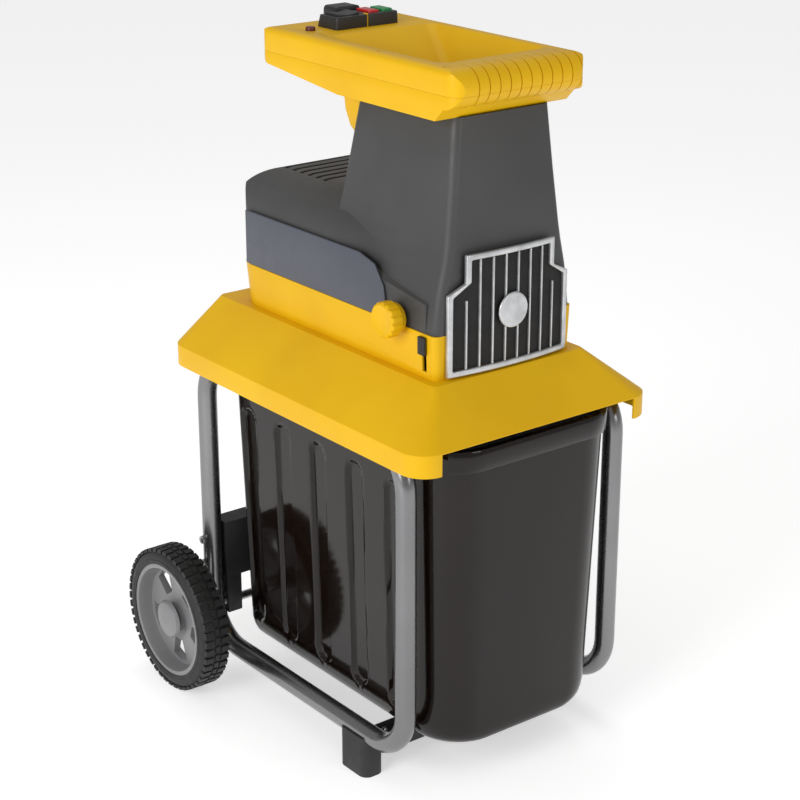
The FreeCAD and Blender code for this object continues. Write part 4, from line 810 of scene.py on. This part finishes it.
silver_plastic = metal("silver_plastic", (0.66, 0.67, 0.68), (0.48, 0.49, 0.50), (0.26, 0.40), 0.70,
                       1800.0, 0.00005, 60.0)
grille_black = moulded("grille_black", (0.004, 0.004, 0.004), (0.007, 0.007, 0.007), (0.60, 0.75),
                       1300.0, 0.0001)


def bowed(piece, low, high, rise, strips=24):
    """Bend a flat front forward in the middle, after cutting it into narrow upright strips."""
    shaped = bmesh.new()
    shaped.from_mesh(piece.data)
    for i in range(1, strips):
        x = low.x + (high.x - low.x) * i / strips
        bmesh.ops.bisect_plane(shaped, geom=shaped.verts[:] + shaped.edges[:] + shaped.faces[:],
                               plane_co=(x, 0, 0), plane_no=(1, 0, 0), dist=1e-6)
    middle, half = (low.x + high.x) / 2, (high.x - low.x) / 2
    for vertex in shaped.verts:
        vertex.co.y -= rise * (1 - ((vertex.co.x - middle) / half) ** 2)
    shaped.to_mesh(piece.data)
    shaped.free()
    smooth_by_angle(piece.data, 40)
    return piece


grille_low, grille_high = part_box("grille_frame")
GRILLE_BOW = 7 * mm
bowed(finished("grille_frame", silver_plastic, 1.6 * mm, 3), grille_low, grille_high, GRILLE_BOW)
bowed(finished("grille_bars", silver_plastic, 0.7 * mm, 2), grille_low, grille_high, GRILLE_BOW)
bowed(finished("grille_backing", grille_black, 0.4 * mm), grille_low, grille_high, GRILLE_BOW)
badge = finished("grille_disc", silver_plastic, 0.8 * mm, 3)
badge_low, badge_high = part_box("grille_disc")
badge_centre = (badge_low + badge_high) / 2
BADGE_GROWTH, BADGE_LIFT = 1.16, 4 * mm
for vertex in badge.data.vertices:
    vertex.co.x = badge_centre.x + (vertex.co.x - badge_centre.x) * BADGE_GROWTH
    vertex.co.z = badge_centre.z + (vertex.co.z - badge_centre.z) * BADGE_GROWTH + BADGE_LIFT
    vertex.co.y -= GRILLE_BOW

# ------------------------------------------------------------------ controls
# Black switch box with coloured keys, the yellow adjusting knob and the sliding box lock.

red_plastic = moulded("red_plastic", (0.60, 0.012, 0.010), (0.52, 0.012, 0.010), (0.25, 0.35),
                      1500.0, 0.00008)
green_plastic = moulded("green_plastic", (0.012, 0.26, 0.07), (0.012, 0.22, 0.06), (0.25, 0.35),
                        1500.0, 0.00008)
finished("switch_box", black_plastic, 0.9 * mm, 3)
finished("stop_button", red_plastic, 0.9 * mm, 3)
finished("start_button", green_plastic, 0.9 * mm, 3)
reset_red = moulded("reset_red", (0.12, 0.010, 0.008), (0.09, 0.009, 0.008), (0.30, 0.42),
                    1500.0, 0.00008)
finished("reset_button", reset_red, 0.8 * mm, 3)
finished("direction_rocker", black_plastic, 0.8 * mm, 3)
finished("power_inlet", black_plastic, 0.6 * mm)
finished("adjusting_knob", yellow_plastic, 0.9 * mm, 3)
finished("box_lock_slider", black_plastic, 0.8 * mm, 3)

# ------------------------------------------------------------------ cutter and drive
# Cast housings, ground steel drum and gears, and the motor, all inside the casing.

cast_aluminium = metal("cast_aluminium", (0.52, 0.52, 0.53), (0.44, 0.44, 0.45), (0.38, 0.55), 1.0,
                       500.0, 0.0004)
tool_steel = metal("tool_steel", (0.34, 0.34, 0.35), (0.26, 0.26, 0.27), (0.20, 0.36), 1.0,
                   1500.0, 0.00006)
winding_copper = metal("winding_copper", (0.30, 0.13, 0.06), (0.20, 0.10, 0.06), (0.35, 0.50), 0.8,
                       420.0, 0.0005)
inside_finishes = {
    "cast_aluminium": cast_aluminium, "tool_steel": tool_steel, "copper_iron": winding_copper,
    "black_plastic": black_plastic, "zinc_steel": zinc_steel}
shown = {name for piece in bpy.data.objects for name in piece.get("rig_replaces", [])}
for node, item in nodes.items():
    if node in shown:
        continue
    item.data.materials.clear()
    item.data.materials.append(inside_finishes[slots[node]])
